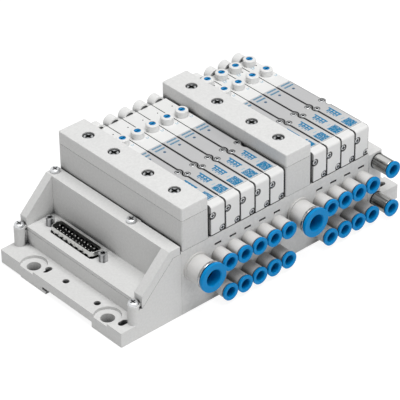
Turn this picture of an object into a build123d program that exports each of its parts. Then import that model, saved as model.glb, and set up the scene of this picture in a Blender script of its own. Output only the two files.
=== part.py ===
from build123d import *
import math
import os

# Pneumatic valve island: a manifold with nine valves between two supply blocks, a connector housing on the
# left and an end plate on the right. Sizes are in millimetres. X runs along the stack from the connector
# end, Y from the port face to the back and Z up from the mounting surface.

# Manifold, feet and mounting holes
BACK_MARGIN = 0.2
MANIFOLD_HEIGHT = 42.5
FLANGE_THICKNESS = 9.5
LEFT_FLANGE_LENGTH = 15.5
RIGHT_FLANGE_LENGTH = 14.6
HOUSING_BODY_LENGTH = 28.3
END_PLATE_LENGTH = 10.7
END_PLATE_HEIGHT = 41.0
END_MARGIN = 0.975
RAIL_WIDTH = 40.6
RAIL_DEPTH = 3.5
RAIL_FRONT = 25.4
BACK_FOOT_RELIEF = 0.8
BACK_FOOT_RELIEF_LENGTH = 18.0
RAIL_HOOK_LENGTH = 3.0
RAIL_HOOK_REACH = 1.6
HOLE_INSET = 5.4
FRONT_HOLE_Y = 17.8
HOLE_SPACING_Y = 65.0
HOLE_RADIUS = 4.1
COUNTERBORE_RADIUS = 8.0
COUNTERBORE_DEPTH = 1.8
SLOT_INSET = 7.4
SLOT_BEFORE_HOLE = (10.8, 9.6)
SLOT_LENGTH = 6.4
SLOT_WIDTH = 3.8
PIN_HOLE_INSET = 8.3
PIN_HOLE_OFFSETS = (12.4, -25.2)
PIN_HOLE_RADIUS = 2.0
EDGE_ROUND = 0.6
SEAM_CHAMFER = 0.2

# Valves and supply blocks along the stack
VALVE_COUNTS = (5, 4)
VALVE_PITCH = 11.1
VALVE_GAP = 0.75
PILOT_HEAD_GAP = 0.6
SUPPLY_WIDTH = 19.2
SUPPLY_BACK_MARGIN = 0.9
HOUSING_GAP = 1.0
PACK_GAP = 1.675
GASKET_THICKNESS = 0.5
GASKET_INSET = 0.35
VALVE_HEIGHT = 19.3
SUPPLY_CAP_THICKNESS = 8.3
SUPPLY_EDGE_ROUND = 1.0
SUPPLY_SCREWS_FROM_FRONT = (16.7, 38.9)
SUPPLY_SCREWS_FROM_BACK = (38.5, 16.1)

# Valve details
FRONT_CAP_LENGTH = 5.6
FRONT_CAP_ROUND = 1.8
VALVE_BODY_LENGTH = 60.4
PILOT_HEAD_LENGTH = 34.5
TAIL_LENGTH = 5.8
TAIL_WIDTH = 8.2
TAIL_DROP = 2.0
TAIL_RISE = 2.8
TAIL_GROOVE_DEPTH = 1.2
TAIL_GROOVE_WALL = 1.1
EAR_RADIUS = 2.6
EAR_INSET = 1.2
RIGHT_EAR_SHIFT = 1.8
LEFT_EAR_SHIFT = -2.8
SEAM_GAP = 0.5
SPOOL_RADIUS = 2.35
SPOOL_NECK_RADIUS = 1.3
SPOOL_HEIGHT = 9.5
SPOOL_END_ROOM = 2.5
SPOOL_LAND_LENGTH = 4.4
VALVE_PORT_RADIUS = 1.3
CENTRE_PORT_SHIFT = 1.2
VALVE_PORT_PITCH = 9.5
CAP_SCREW_INSET = 1.65
CAP_SCREW_HIGH_DROP = 6.6
CAP_SCREW_LOW_RISE = 1.8
CAP_SCREW_LENGTH = 9.0
VALVE_SCREW_DEPTH = 5.0
LABEL_SLOT_LENGTH = 4.9
LABEL_SLOT_HEIGHT = 1.4
LABEL_SLOT_DEPTH = 2.0
LABEL_SLOT_DROP = 6.5

# Manual overrides and pilot coils
OVERRIDE_OFFSET = 14.4
OVERRIDE_PITCH = 14.7
COLLAR_RADIUS = 3.9
COLLAR_HEIGHT = 4.2
COLLAR_CHAMFER = 0.5
BUTTON_RADIUS = 2.0
BUTTON_SINK = 0.3
BUTTON_FLANGE_WIDTH = 0.7
BUTTON_FLANGE_THICKNESS = 1.1
BUTTON_TRAVEL = 0.9
BUTTON_SLOT_WIDTH = 0.7
BUTTON_SLOT_DEPTH = 0.9
COIL_RADIUS = 4.2
COIL_LENGTH = 12.0
COIL_BORE_RADIUS = 1.4
COIL_SEAT_GAP = 0.05
PILOT_ROOF = 3.0
LAMP_RADIUS = 0.45
LAMP_OFFSET = (2.3, 25.5)
LAMP_DEPTH = 0.8

# Push-in ports: small work ports, large supply and exhaust ports, metal pilot ports
UPPER_ROW_Z = 28.4
LOWER_ROW_Z = 8.0
LARGE_PORT_Z = 28.3
PILOT_PORT_DROP = 6.2
PILOT_PORT_INSET = 3.9
RING_TRAVEL = 0.8
RING_GAP = 0.9
COLLET_THICKNESS = 1.2
COLLET_ROOM = 0.5
PORT_MOUTH_CHAMFER = 0.5
PORT_NEIGHBOUR_GAP = 1.2
SPIGOT_NEIGHBOUR_GAP = 1.9
RING_NEIGHBOUR_GAP = 0.5
TUBE_RELIEF = 0.25
THIN_SPIGOT_WALL = 1.0
WORK_PORT = {
    "tube": 3.05, "body": (VALVE_PITCH - PORT_NEIGHBOUR_GAP) / 2, "reach": 8.4,
    "spigot": (VALVE_PITCH - SPIGOT_NEIGHBOUR_GAP) / 2, "depth": 7.0, "seat": -0.1,
    "duct": 1.6, "ring": (VALVE_PITCH - RING_NEIGHBOUR_GAP) / 2, "ring_thickness": 1.6,
    "sleeve": 3.85, "sleeve_length": 3.4,
}
LARGE_PORT = {
    "tube": 5.05, "body": 8.0, "reach": 10.9, "spigot": 7.4, "depth": 10.0, "seat": -0.1,
    "duct": 3.5, "ring": 9.1, "ring_thickness": 2.0, "sleeve": 6.6, "sleeve_length": 5.0,
}
PILOT_PORT = {
    "tube": 3.05, "body": 4.8, "reach": 11.4, "spigot": 3.3, "depth": 8.0, "seat": -0.7,
    "duct": 1.6, "ring": 5.3, "ring_thickness": 1.5, "sleeve": 3.85, "sleeve_length": 4.4,
}
LARGE_FOOT_RADIUS = 8.9
LARGE_FOOT_THICKNESS = 1.2
RIM_RADIUS = 8.7
RIM_THICKNESS = 1.5
WASHER_RADIUS = 5.0
WASHER_THICKNESS = 0.6

# Channels inside the manifold
SUPPLY_GALLERY = (33.0, 3.5)
EXHAUST_GALLERY = (33.5, 2.6)
LARGE_DUCT_DROP = 2.8
PILOT_GALLERY_OFFSET = 5.0
PILOT_EXHAUST_OFFSET = 11.0
PILOT_EXHAUST_Z = 30.0
PILOT_GALLERY_RADIUS = 1.5
BOARD_CHANNEL_INSETS = (22.5, 7.5)
BOARD_ROOM = (8.0, 4.0)
BOARD_CHANNEL_END = 3.0
BOARD_LEDGE = 2.5
BOARD_DROP = 8.5
BOARD_THICKNESS = 1.6
CONTACT_WIDTH = 6.0
CONTACT_DEPTH = 7.0

# Connector housing and its cover
HOUSING_WALL = 2.5
SHELF_Z = 21.1
SHELF_THICKNESS = 2.5
SEAM_START_Z = 18.7
BAND_HEIGHT = 7.9
HOUSING_TOP_Z = 41.4
COVER_TOP_Z = 46.5
TOP_RAIL_WIDTH = 8.6
FRONT_CHEEK = 6.4
BACK_CHEEK = 5.5
RAIL_STEP_Y = 33.0
RAIL_STEP = 0.5
BOSS_RADIUS = 3.3
BOSS_INSET_X = 3.7
BOSS_CENTRE_Y = 3.3
BOSS_TOP_Z = 19.8
EAR_THICKNESS = 2.0
HEAD_POCKET_RADIUS = 3.6
TOP_SCREW_FRONT_Y = 36.4
TOP_SCREW_BACK_INSET = 3.2
POST_RADIUS = 3.0

# Connector with 25 pins
CONNECTOR_INSET_X = 11.0
CONNECTOR_BACK_INSET = 36.7
SHELL_END_ROOM = 2.86
SHELL_WIDTH = 8.36
SHELL_WALL = 0.45
SHELL_SLANT = math.radians(10)
SHELL_CORNER = 2.2
SHELL_RISE = 3.9
SHELL_PLATE_MARGIN = 2.98
SHELL_PLATE_WIDTH = 12.5
SHELL_PLATE_THICKNESS = 0.8
DIMPLE_PITCH = 3.6
DIMPLE_RADIUS = 0.8
DIMPLE_DEPTH = 0.3
SHELL_CUTOUT_GAP = 0.6
INSULATOR_SINK = 5.6
INSULATOR_DEPTH = 5.5
PIN_COUNTS = (12, 13)
PIN_PITCH = 2.77
PIN_ROW_SPACING = 2.84
PIN_RADIUS = 0.5
PIN_SINK = 1.5
PIN_TAIL = 1.6
JACKSCREW_MARGIN = 4.04
JACKSCREW_ACROSS = 4.8
JACKSCREW_HEIGHT = 5.2
JACKSCREW_THREAD_RADIUS = 1.42
JACKSCREW_THREAD_DEPTH = 4.2
JACKSCREW_TAIL = 4.5
BOARD_MARGIN = 4.0

# Screws: head radius, head height, shank radius, recess width and recess depth
COVER_SCREW = (2.9, 2.2, 1.5, 0.8, 1.2)
SUPPLY_SCREW = (3.2, 2.4, 1.9, 1.0, 1.4)
VALVE_SCREW = (1.55, 1.0, 1.0, 0.5, 0.6)
CAP_SCREW = (1.6, 0.8, 0.9, 0.5, 0.5)
SUPPLY_HEAD_POCKET = (3.6, 3.0)
CAP_HEAD_POCKET = (2.1, 1.0)
COVER_SCREW_LENGTH = 9.0
SUPPLY_SCREW_THREAD = 5.2

# Clearances
FIT = 0.05
THREAD_FIT = 0.05
BOARD_FIT = 0.3

# Places worked out from the sizes
HOUSING_LENGTH = LEFT_FLANGE_LENGTH + HOUSING_BODY_LENGTH
VALVE_WIDTH = VALVE_PITCH - VALVE_GAP
PILOT_HEAD_WIDTH = VALVE_PITCH - PILOT_HEAD_GAP
VALVE_BASE_Z = MANIFOLD_HEIGHT + GASKET_THICKNESS
VALVE_TOP_Z = VALVE_BASE_Z + VALVE_HEIGHT
BODY_MIDDLE_Y = FRONT_CAP_LENGTH + VALVE_BODY_LENGTH / 2
BODY_BACK_Y = FRONT_CAP_LENGTH + VALVE_BODY_LENGTH
HEAD_BACK_Y = BODY_BACK_Y + PILOT_HEAD_LENGTH
BASE_DEPTH = HEAD_BACK_Y + TAIL_LENGTH + BACK_MARGIN
SUPPLY_DEPTH = BASE_DEPTH - SUPPLY_BACK_MARGIN
SUPPLY_SCREW_Y = [*SUPPLY_SCREWS_FROM_FRONT, *(BASE_DEPTH - inset for inset in SUPPLY_SCREWS_FROM_BACK)]
HOLE_Y = (FRONT_HOLE_Y, FRONT_HOLE_Y + HOLE_SPACING_Y)
SLOT_Y = [y - gap for y, gap in zip(HOLE_Y, SLOT_BEFORE_HOLE)]
PIN_HOLE_Y = [y + offset for y, offset in zip(HOLE_Y, PIN_HOLE_OFFSETS)]
CENTRE_PORT_Y = BODY_MIDDLE_Y + CENTRE_PORT_SHIFT
PILOT_GALLERY_Y = BODY_BACK_Y + PILOT_GALLERY_OFFSET
PILOT_EXHAUST_Y = BODY_BACK_Y + PILOT_EXHAUST_OFFSET
PILOT_PORT_Z = (END_PLATE_HEIGHT - PILOT_PORT_DROP, LOWER_ROW_Z)
BOARD_HEIGHT = MANIFOLD_HEIGHT - BOARD_DROP
BOARD_CHANNEL_Y = [BASE_DEPTH - inset for inset in BOARD_CHANNEL_INSETS]
BOARD_CHANNEL_Z = (BOARD_HEIGHT - BOARD_ROOM[0], BOARD_HEIGHT + BOARD_ROOM[1])
BOSS_CENTRE_X = LEFT_FLANGE_LENGTH - BOSS_INSET_X
TOP_SCREW_Y = (TOP_SCREW_FRONT_Y, BASE_DEPTH - TOP_SCREW_BACK_INSET)
CONNECTOR_X = LEFT_FLANGE_LENGTH + CONNECTOR_INSET_X
CONNECTOR_Y = BASE_DEPTH - CONNECTOR_BACK_INSET
SHELL_LENGTH = (max(PIN_COUNTS) - 1) * PIN_PITCH + 2 * SHELL_END_ROOM
JACKSCREW_SPACING = SHELL_LENGTH + 2 * JACKSCREW_MARGIN
SHELL_PLATE_LENGTH = JACKSCREW_SPACING + 2 * SHELL_PLATE_MARGIN


def pack_length(count):
    return (count - 1) * VALVE_PITCH + VALVE_WIDTH


SUPPLY_LEFT = [HOUSING_LENGTH + HOUSING_GAP]
VALVE_LEFT = []
for group_size in VALVE_COUNTS:
    first_valve = SUPPLY_LEFT[-1] + SUPPLY_WIDTH + PACK_GAP
    VALVE_LEFT.append([first_valve + i * VALVE_PITCH for i in range(group_size)])
    SUPPLY_LEFT.append(first_valve + pack_length(group_size) + PACK_GAP)
MANIFOLD_END = SUPPLY_LEFT.pop() - PACK_GAP + END_MARGIN
END_PLATE_END = MANIFOLD_END + END_PLATE_LENGTH
TOTAL_LENGTH = END_PLATE_END + RIGHT_FLANGE_LENGTH
ALL_VALVES = [left for group in VALVE_LEFT for left in group]
VALVE_CENTRES = [left + VALVE_WIDTH / 2 for left in ALL_VALVES]
SUPPLY_CENTRES = [left + SUPPLY_WIDTH / 2 for left in SUPPLY_LEFT]
PILOT_PORT_X = END_PLATE_END - PILOT_PORT_INSET
ORIGIN = (TOTAL_LENGTH / 2, sum(HOLE_Y) / 2, 0)
PORT_OFFSETS = [VALVE_PORT_PITCH * i for i in (-2, -1, 0, 1, 2)]


def block(x, y, z):
    """A box between the given low and high values."""
    size = Box(x[1] - x[0], y[1] - y[0], z[1] - z[0], align=(Align.MIN, Align.MIN, Align.MIN))
    return Pos(x[0], y[0], z[0]) * size


def rod(axis, centre, radius, low, high):
    """A round bar along X, Y or Z; centre gives its other two coordinates in X, Y, Z order."""
    bar = Cylinder(radius, high - low, align=(Align.CENTER, Align.CENTER, Align.MIN))
    if axis == "x":
        return Pos(low, centre[0], centre[1]) * Rot(0, 90, 0) * bar
    if axis == "y":
        return Pos(centre[0], low, centre[1]) * Rot(-90, 0, 0) * bar
    return Pos(centre[0], centre[1], low) * bar


def prism(points, y):
    """A solid with the given outline in X and Z, between two values of Y."""
    outline = Polyline(*[(px, y[0], pz) for px, pz in points], close=True)
    return extrude(make_face(outline), amount=y[1] - y[0], dir=(0, 1, 0))


def tube(axis, centre, outer, inner, low, high):
    return rod(axis, centre, outer, low, high) - rod(axis, centre, inner, low, high)


def turned(axis, centre, steps):
    """A stepped round bar: steps are (radius, low, high)."""
    return Part() + [rod(axis, centre, radius, low, high) for radius, low, high in steps]


def cut(solid, tools):
    return solid - [tool for tool in tools]


def round_edges(solid, direction, radius):
    return fillet(solid.edges().filter_by(direction), radius)


def edges_in_plane(solid, axis, value):
    """The edges that lie in a plane across the axis."""
    return solid.edges().filter_by_position(axis, value - FIT / 10, value + FIT / 10)


def break_edges(solid, axis, *values):
    """Chamfers the outline that meets a neighbour at each of the values, so that the seam shows."""
    for value in values:
        solid = chamfer(edges_in_plane(solid, axis, value), SEAM_CHAMFER)
    return solid


def slot_hole(x, y, z):
    """A slot along X through the flange."""
    half = (SLOT_LENGTH - SLOT_WIDTH) / 2
    middle = block((x - half, x + half), (y - SLOT_WIDTH / 2, y + SLOT_WIDTH / 2), z)
    ends = [rod("z", (x + side * half, y), SLOT_WIDTH / 2, z[0], z[1]) for side in (-1, 1)]
    return middle + ends


def flange_cuts(end_x, inward):
    """Holes of one mounting flange, placed from its outer end."""
    through = (0, FLANGE_THICKNESS)
    hole_x = end_x + inward * HOLE_INSET
    cuts = []
    for y in HOLE_Y:
        cuts.append(rod("z", (hole_x, y), HOLE_RADIUS, *through))
    cuts += [slot_hole(end_x + inward * SLOT_INSET, y, through) for y in SLOT_Y]
    cuts += [rod("z", (end_x + inward * PIN_HOLE_INSET, y), PIN_HOLE_RADIUS, *through) for y in PIN_HOLE_Y]
    return cuts


def counterbores(end_x, inward, wall_x):
    """Round seats for the fastening screws, kept clear of the wall behind the flange."""
    seats = Part()
    for y in HOLE_Y:
        low = FLANGE_THICKNESS - COUNTERBORE_DEPTH
        seats += rod("z", (end_x + inward * HOLE_INSET, y), COUNTERBORE_RADIUS, low, FLANGE_THICKNESS)
    span = sorted((end_x, wall_x))
    return seats & block(span, (0, BASE_DEPTH), (0, FLANGE_THICKNESS))


def rail_channel(x):
    """The channel for the mounting rail, with the undercut that the rail's edge hooks into."""
    back = RAIL_FRONT + RAIL_WIDTH
    channel = block(x, (RAIL_FRONT, back), (0, RAIL_DEPTH))
    hook_z = (RAIL_DEPTH - RAIL_HOOK_REACH, RAIL_DEPTH)
    channel += block(x, (back, back + RAIL_HOOK_LENGTH), hook_z)
    back_foot = (BASE_DEPTH - BACK_FOOT_RELIEF_LENGTH, BASE_DEPTH)
    return channel + block(x, back_foot, (0, BACK_FOOT_RELIEF))


def large_port_positions():
    return [(x, LARGE_PORT_Z) for x in SUPPLY_CENTRES]


def ear_positions(left):
    """Screw ears of one valve: the left one, then the right one."""
    left_ear = (left + EAR_INSET, BODY_MIDDLE_Y + LEFT_EAR_SHIFT)
    right_ear = (left + VALVE_WIDTH - EAR_INSET, BODY_MIDDLE_Y + RIGHT_EAR_SHIFT)
    return [left_ear, right_ear]


def manifold_base():
    x = (HOUSING_LENGTH, MANIFOLD_END)
    body = break_edges(block(x, (0, BASE_DEPTH), (0, MANIFOLD_HEIGHT)), Axis.X, *x)
    low, high = BOARD_CHANNEL_Y
    cuts = [rail_channel(x)]
    channel_x = (HOUSING_LENGTH, MANIFOLD_END - BOARD_CHANNEL_END)
    below_board = (low + BOARD_LEDGE, high - BOARD_LEDGE)
    cuts.append(block(channel_x, (low, high), (BOARD_HEIGHT, BOARD_CHANNEL_Z[1])))
    cuts.append(block(channel_x, below_board, (BOARD_CHANNEL_Z[0], BOARD_HEIGHT)))
    cuts += [contact_window(centre, (BOARD_CHANNEL_Z[1], MANIFOLD_HEIGHT)) for centre in VALVE_CENTRES]
    for offset in (PORT_OFFSETS[0], PORT_OFFSETS[-1]):
        cuts.append(rod("x", (CENTRE_PORT_Y + offset, EXHAUST_GALLERY[0]), EXHAUST_GALLERY[1], *x))
    cuts.append(rod("x", (CENTRE_PORT_Y, SUPPLY_GALLERY[0]), SUPPLY_GALLERY[1], *x))
    cuts.append(rod("x", (PILOT_GALLERY_Y, PILOT_PORT_Z[0]), PILOT_GALLERY_RADIUS, *x))
    cuts.append(rod("x", (PILOT_EXHAUST_Y, PILOT_EXHAUST_Z), PILOT_GALLERY_RADIUS, *x))
    for centre in VALVE_CENTRES:
        cuts += valve_channels(centre)
    for left in ALL_VALVES:
        depth = MANIFOLD_HEIGHT - VALVE_SCREW_DEPTH
        for place in ear_positions(left):
            cuts.append(rod("z", place, VALVE_SCREW[2] + THREAD_FIT, depth, MANIFOLD_HEIGHT))
    for centre in SUPPLY_CENTRES:
        cuts.append(rod("y", (centre, LARGE_PORT_Z), LARGE_PORT["spigot"] + FIT, 0, LARGE_PORT["depth"]))
        depth = MANIFOLD_HEIGHT - SUPPLY_SCREW_THREAD
        for y in SUPPLY_SCREW_Y:
            cuts.append(rod("z", (centre, y), SUPPLY_SCREW[2] + THREAD_FIT, depth, MANIFOLD_HEIGHT))
    cuts += large_ducts()
    return cut(body, cuts)


def contact_window(centre, z):
    """The opening over the board channel that takes one valve's contact block."""
    middle = sum(BOARD_CHANNEL_Y) / 2
    half_x, half_y = CONTACT_WIDTH / 2 + BOARD_FIT, CONTACT_DEPTH / 2 + BOARD_FIT
    return block((centre - half_x, centre + half_x), (middle - half_y, middle + half_y), z)


def valve_channels(centre):
    """Bores of the manifold that serve one valve."""
    seat = WORK_PORT["spigot"] + FIT
    duct = WORK_PORT["duct"]
    cuts = []
    for z, offset in ((UPPER_ROW_Z, PORT_OFFSETS[1]), (LOWER_ROW_Z, PORT_OFFSETS[3])):
        end = CENTRE_PORT_Y + offset
        cuts.append(rod("y", (centre, z), seat, 0, WORK_PORT["depth"]))
        cuts.append(rod("y", (centre, z), duct, 0, end))
        cuts.append(rod("z", (centre, end), VALVE_PORT_RADIUS, z, MANIFOLD_HEIGHT))
    for offset in (PORT_OFFSETS[0], PORT_OFFSETS[-1]):
        place = (centre, CENTRE_PORT_Y + offset)
        cuts.append(rod("z", place, VALVE_PORT_RADIUS, EXHAUST_GALLERY[0], MANIFOLD_HEIGHT))
    cuts.append(rod("z", (centre, CENTRE_PORT_Y), VALVE_PORT_RADIUS, SUPPLY_GALLERY[0], MANIFOLD_HEIGHT))
    cuts.append(rod("z", (centre, PILOT_GALLERY_Y), VALVE_PORT_RADIUS, PILOT_PORT_Z[0], MANIFOLD_HEIGHT))
    cuts.append(rod("z", (centre, PILOT_EXHAUST_Y), VALVE_PORT_RADIUS, PILOT_EXHAUST_Z, MANIFOLD_HEIGHT))
    half = LABEL_SLOT_LENGTH / 2
    slot_z = MANIFOLD_HEIGHT - LABEL_SLOT_DROP
    height = (slot_z - LABEL_SLOT_HEIGHT / 2, slot_z + LABEL_SLOT_HEIGHT / 2)
    cuts.append(block((centre - half, centre + half), (0, LABEL_SLOT_DEPTH), height))
    return cuts


def large_ducts():
    """The left large port feeds the supply gallery, the right one drains both exhaust galleries."""
    z = LARGE_PORT_Z - LARGE_DUCT_DROP
    radius = LARGE_PORT["duct"]
    supply, exhaust = SUPPLY_CENTRES
    first, last = CENTRE_PORT_Y + PORT_OFFSETS[0], CENTRE_PORT_Y + PORT_OFFSETS[-1]
    cuts = [rod("y", (supply, z), radius, 0, CENTRE_PORT_Y), rod("y", (exhaust, z), radius, 0, last)]
    cuts.append(rod("z", (supply, CENTRE_PORT_Y), radius, z, SUPPLY_GALLERY[0]))
    cuts += [rod("z", (exhaust, y), EXHAUST_GALLERY[1], z, EXHAUST_GALLERY[0]) for y in (first, last)]
    return cuts


def right_end_plate():
    tall = block((MANIFOLD_END, END_PLATE_END), (0, BASE_DEPTH), (0, END_PLATE_HEIGHT))
    tall = fillet(tall.edges().filter_by(Axis.Z).sort_by(Axis.X)[-2:], EDGE_ROUND)
    tall = break_edges(tall, Axis.X, MANIFOLD_END)
    foot = block((MANIFOLD_END, TOTAL_LENGTH), (0, BASE_DEPTH), (0, FLANGE_THICKNESS))
    foot = fillet(foot.edges().filter_by(Axis.Z).sort_by(Axis.X)[-2:], EDGE_ROUND)
    cuts = flange_cuts(TOTAL_LENGTH, -1)
    cuts.append(counterbores(TOTAL_LENGTH, -1, END_PLATE_END))
    cuts.append(rail_channel((MANIFOLD_END, TOTAL_LENGTH)))
    seat = PILOT_PORT["spigot"] + FIT
    for z, end in zip(PILOT_PORT_Z, (PILOT_GALLERY_Y, PILOT_EXHAUST_Y)):
        cuts.append(rod("y", (PILOT_PORT_X, z), seat, 0, PILOT_PORT["depth"]))
        cuts.append(rod("y", (PILOT_PORT_X, z), PILOT_PORT["duct"], 0, end))
    high, low = PILOT_PORT_Z
    radius = PILOT_GALLERY_RADIUS
    cuts.append(rod("x", (PILOT_GALLERY_Y, high), radius, MANIFOLD_END, PILOT_PORT_X))
    cuts.append(rod("z", (PILOT_PORT_X, PILOT_EXHAUST_Y), radius, low, PILOT_EXHAUST_Z))
    cuts.append(rod("x", (PILOT_EXHAUST_Y, PILOT_EXHAUST_Z), radius, MANIFOLD_END, PILOT_PORT_X))
    return cut(tall + foot, cuts)


def seam_z(x):
    """Height of the sloping joint between housing and cover."""
    return x - LEFT_FLANGE_LENGTH + SEAM_START_Z


def seam_x(z):
    """Where that joint is at the given height."""
    return z - SEAM_START_Z + LEFT_FLANGE_LENGTH


def band_z(x):
    """Height of the cover's sloping outer edge."""
    return seam_z(x) + BAND_HEIGHT


def housing_outline(inset=0):
    """Side outline of the lower housing behind the flange, drawn in by a wall where asked."""
    left = LEFT_FLANGE_LENGTH + inset
    right = HOUSING_LENGTH - inset
    bottom = FLANGE_THICKNESS
    slope_end = seam_x(HOUSING_TOP_Z)
    return [(left, bottom), (right, bottom), (right, HOUSING_TOP_Z), (slope_end, HOUSING_TOP_Z),
            (left, seam_z(left))]


def boss_places():
    return [(BOSS_CENTRE_X, BOSS_CENTRE_Y), (BOSS_CENTRE_X, BASE_DEPTH - BOSS_CENTRE_Y)]


def top_screw_places():
    x = HOUSING_LENGTH - TOP_RAIL_WIDTH / 2
    return [(x, y) for y in TOP_SCREW_Y]


def connector_housing():
    floor = block((0, HOUSING_LENGTH), (0, BASE_DEPTH), (0, FLANGE_THICKNESS))
    floor = fillet(floor.edges().filter_by(Axis.Z).sort_by(Axis.X)[:2], EDGE_ROUND)
    shell = prism(housing_outline(), (0, BASE_DEPTH))
    inside_top = [(px, pz) for px, pz in housing_outline(HOUSING_WALL)]
    inside_top[2] = (inside_top[2][0], COVER_TOP_Z)
    inside_top[3] = (seam_x(HOUSING_TOP_Z), COVER_TOP_Z)
    inside_top[4] = (inside_top[4][0], COVER_TOP_Z)
    hollow = prism(inside_top, (HOUSING_WALL, BASE_DEPTH - HOUSING_WALL))
    body = floor + (shell - hollow)
    web_end = LEFT_FLANGE_LENGTH + HOUSING_WALL
    web_z = (FLANGE_THICKNESS, seam_z(LEFT_FLANGE_LENGTH))
    for x, y in boss_places():
        body += rod("z", (x, y), BOSS_RADIUS, FLANGE_THICKNESS, BOSS_TOP_Z)
        web = (y - BOSS_RADIUS * 0.6, y + BOSS_RADIUS * 0.6)
        body += block((x, web_end), web, web_z)
    front_web = (BOSS_CENTRE_Y - BOSS_RADIUS, BOSS_CENTRE_Y)
    body += block((BOSS_CENTRE_X, web_end), front_web, web_z)
    floor_top = FLANGE_THICKNESS
    for place in top_screw_places():
        body += rod("z", place, POST_RADIUS, floor_top, HOUSING_TOP_Z)
    body = body & block((0, HOUSING_LENGTH), (0, BASE_DEPTH), (0, HOUSING_TOP_Z))
    cuts = flange_cuts(0, 1)
    cuts.append(counterbores(0, 1, LEFT_FLANGE_LENGTH))
    cuts.append(rail_channel((0, HOUSING_LENGTH)))
    depth = COVER_SCREW_LENGTH
    thread = COVER_SCREW[2] + THREAD_FIT
    for place in boss_places():
        cuts.append(rod("z", place, thread, BOSS_TOP_Z + EAR_THICKNESS - depth, BOSS_TOP_Z))
    for place in top_screw_places():
        cuts.append(rod("z", place, thread, COVER_TOP_Z - depth, HOUSING_TOP_Z))
    left_wall = (LEFT_FLANGE_LENGTH, LEFT_FLANGE_LENGTH + HOUSING_WALL)
    cuts.append(block(left_wall, recess_span(), (SEAM_START_Z, HOUSING_TOP_Z)))
    low, high = BOARD_CHANNEL_Y
    wall = (HOUSING_LENGTH - HOUSING_WALL, HOUSING_LENGTH)
    cuts.append(block(wall, (low, high), BOARD_CHANNEL_Z))
    return cut(body, cuts)


def recess_back_x():
    return HOUSING_LENGTH - TOP_RAIL_WIDTH


def recess_span():
    """The recess along Y, between the cover's two cheeks."""
    return FRONT_CHEEK, BASE_DEPTH - BACK_CHEEK


def on_seam(edge):
    """Whether an edge of a cheek runs along the visible joint with the housing."""
    middle = edge.center()
    return abs(middle.Z - min(seam_z(middle.X), HOUSING_TOP_Z)) < FIT and abs((edge % 0.5).Y) < FIT


def connector_cover():
    left = LEFT_FLANGE_LENGTH
    slope_end = seam_x(HOUSING_TOP_Z)
    top_start = seam_x(COVER_TOP_Z - BAND_HEIGHT)
    outer = [(left, seam_z(left)), (slope_end, HOUSING_TOP_Z), (HOUSING_LENGTH, HOUSING_TOP_Z),
             (HOUSING_LENGTH, COVER_TOP_Z), (top_start, COVER_TOP_Z), (left, band_z(left))]
    body = prism(outer, (0, BASE_DEPTH))
    body = chamfer([edge for edge in body.edges() if on_seam(edge)], SEAM_CHAMFER)
    back_x = recess_back_x()
    bottom = SHELF_Z - SHELF_THICKNESS
    inner_left = left + HOUSING_WALL + BOARD_FIT
    inner_right = back_x + SHELF_THICKNESS
    tray_y = (HOUSING_WALL + BOARD_FIT, BASE_DEPTH - HOUSING_WALL - BOARD_FIT)
    tray = [(inner_left, bottom), (inner_right, bottom), (inner_right, HOUSING_TOP_Z),
            (slope_end, HOUSING_TOP_Z), (inner_left, seam_z(inner_left))]
    body += prism(tray, tray_y)
    recess = recess_span()
    body += block((left, inner_left), (recess[0] + FIT, recess[1] - FIT), (SEAM_START_Z, SHELF_Z))
    corner = [(left, SEAM_START_Z), (left + SEAM_CHAMFER, SEAM_START_Z), (left, SEAM_START_Z + SEAM_CHAMFER)]
    body -= prism(corner, (0, BASE_DEPTH))
    body -= block((left, back_x), recess, (SHELF_Z, COVER_TOP_Z))
    for x, y in boss_places():
        body += rod("z", (x, y), BOSS_RADIUS, BOSS_TOP_Z, BOSS_TOP_Z + EAR_THICKNESS)
        web = (y - BOSS_RADIUS * 0.6, y + BOSS_RADIUS * 0.6)
        web_end = min(left + HOUSING_WALL, seam_x(BOSS_TOP_Z) - BOARD_FIT)
        body += block((x, web_end), web, (BOSS_TOP_Z, BOSS_TOP_Z + EAR_THICKNESS))
    cuts = []
    for x, y in boss_places():
        top = band_z(left)
        cuts.append(rod("z", (x, y), HEAD_POCKET_RADIUS, BOSS_TOP_Z + EAR_THICKNESS, top))
        cuts.append(rod("z", (x, y), COVER_SCREW[2] + FIT, BOSS_TOP_Z, BOSS_TOP_Z + EAR_THICKNESS))
    for place in top_screw_places():
        cuts.append(rod("z", place, COVER_SCREW[2] + FIT, HOUSING_TOP_Z, COVER_TOP_Z))
        cuts.append(rod("z", place, POST_RADIUS + BOARD_FIT, bottom, HOUSING_TOP_Z))
    step_x = (HOUSING_LENGTH - RAIL_STEP, HOUSING_LENGTH)
    cuts.append(block(step_x, (0, RAIL_STEP_Y), (HOUSING_TOP_Z, COVER_TOP_Z)))
    gap = 2 * SHELL_CUTOUT_GAP
    cuts.append(d_prism(SHELL_WIDTH + gap, SHELL_LENGTH + gap, bottom, SHELF_Z))
    for y in jackscrew_ys():
        cuts.append(rod("z", (CONNECTOR_X, y), JACKSCREW_THREAD_RADIUS + FIT, bottom, SHELF_Z))
    return cut(body, cuts)


def jackscrew_ys():
    return [CONNECTOR_Y - JACKSCREW_SPACING / 2, CONNECTOR_Y + JACKSCREW_SPACING / 2]


def d_prism(width, length, low, high):
    """The D-shaped outline of the connector: its long side faces the recess wall."""
    narrow = width * math.tan(SHELL_SLANT)
    near, far = CONNECTOR_X - width / 2, CONNECTOR_X + width / 2
    front, back = CONNECTOR_Y - length / 2, CONNECTOR_Y + length / 2
    outline = Polyline((far, front, low), (far, back, low), (near, back - narrow, low),
                       (near, front + narrow, low), close=True)
    solid = extrude(make_face(outline), amount=high - low, dir=(0, 0, 1))
    corner = min(SHELL_CORNER, width / 2.2)
    return fillet(solid.edges().filter_by(Axis.Z), corner)


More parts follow.
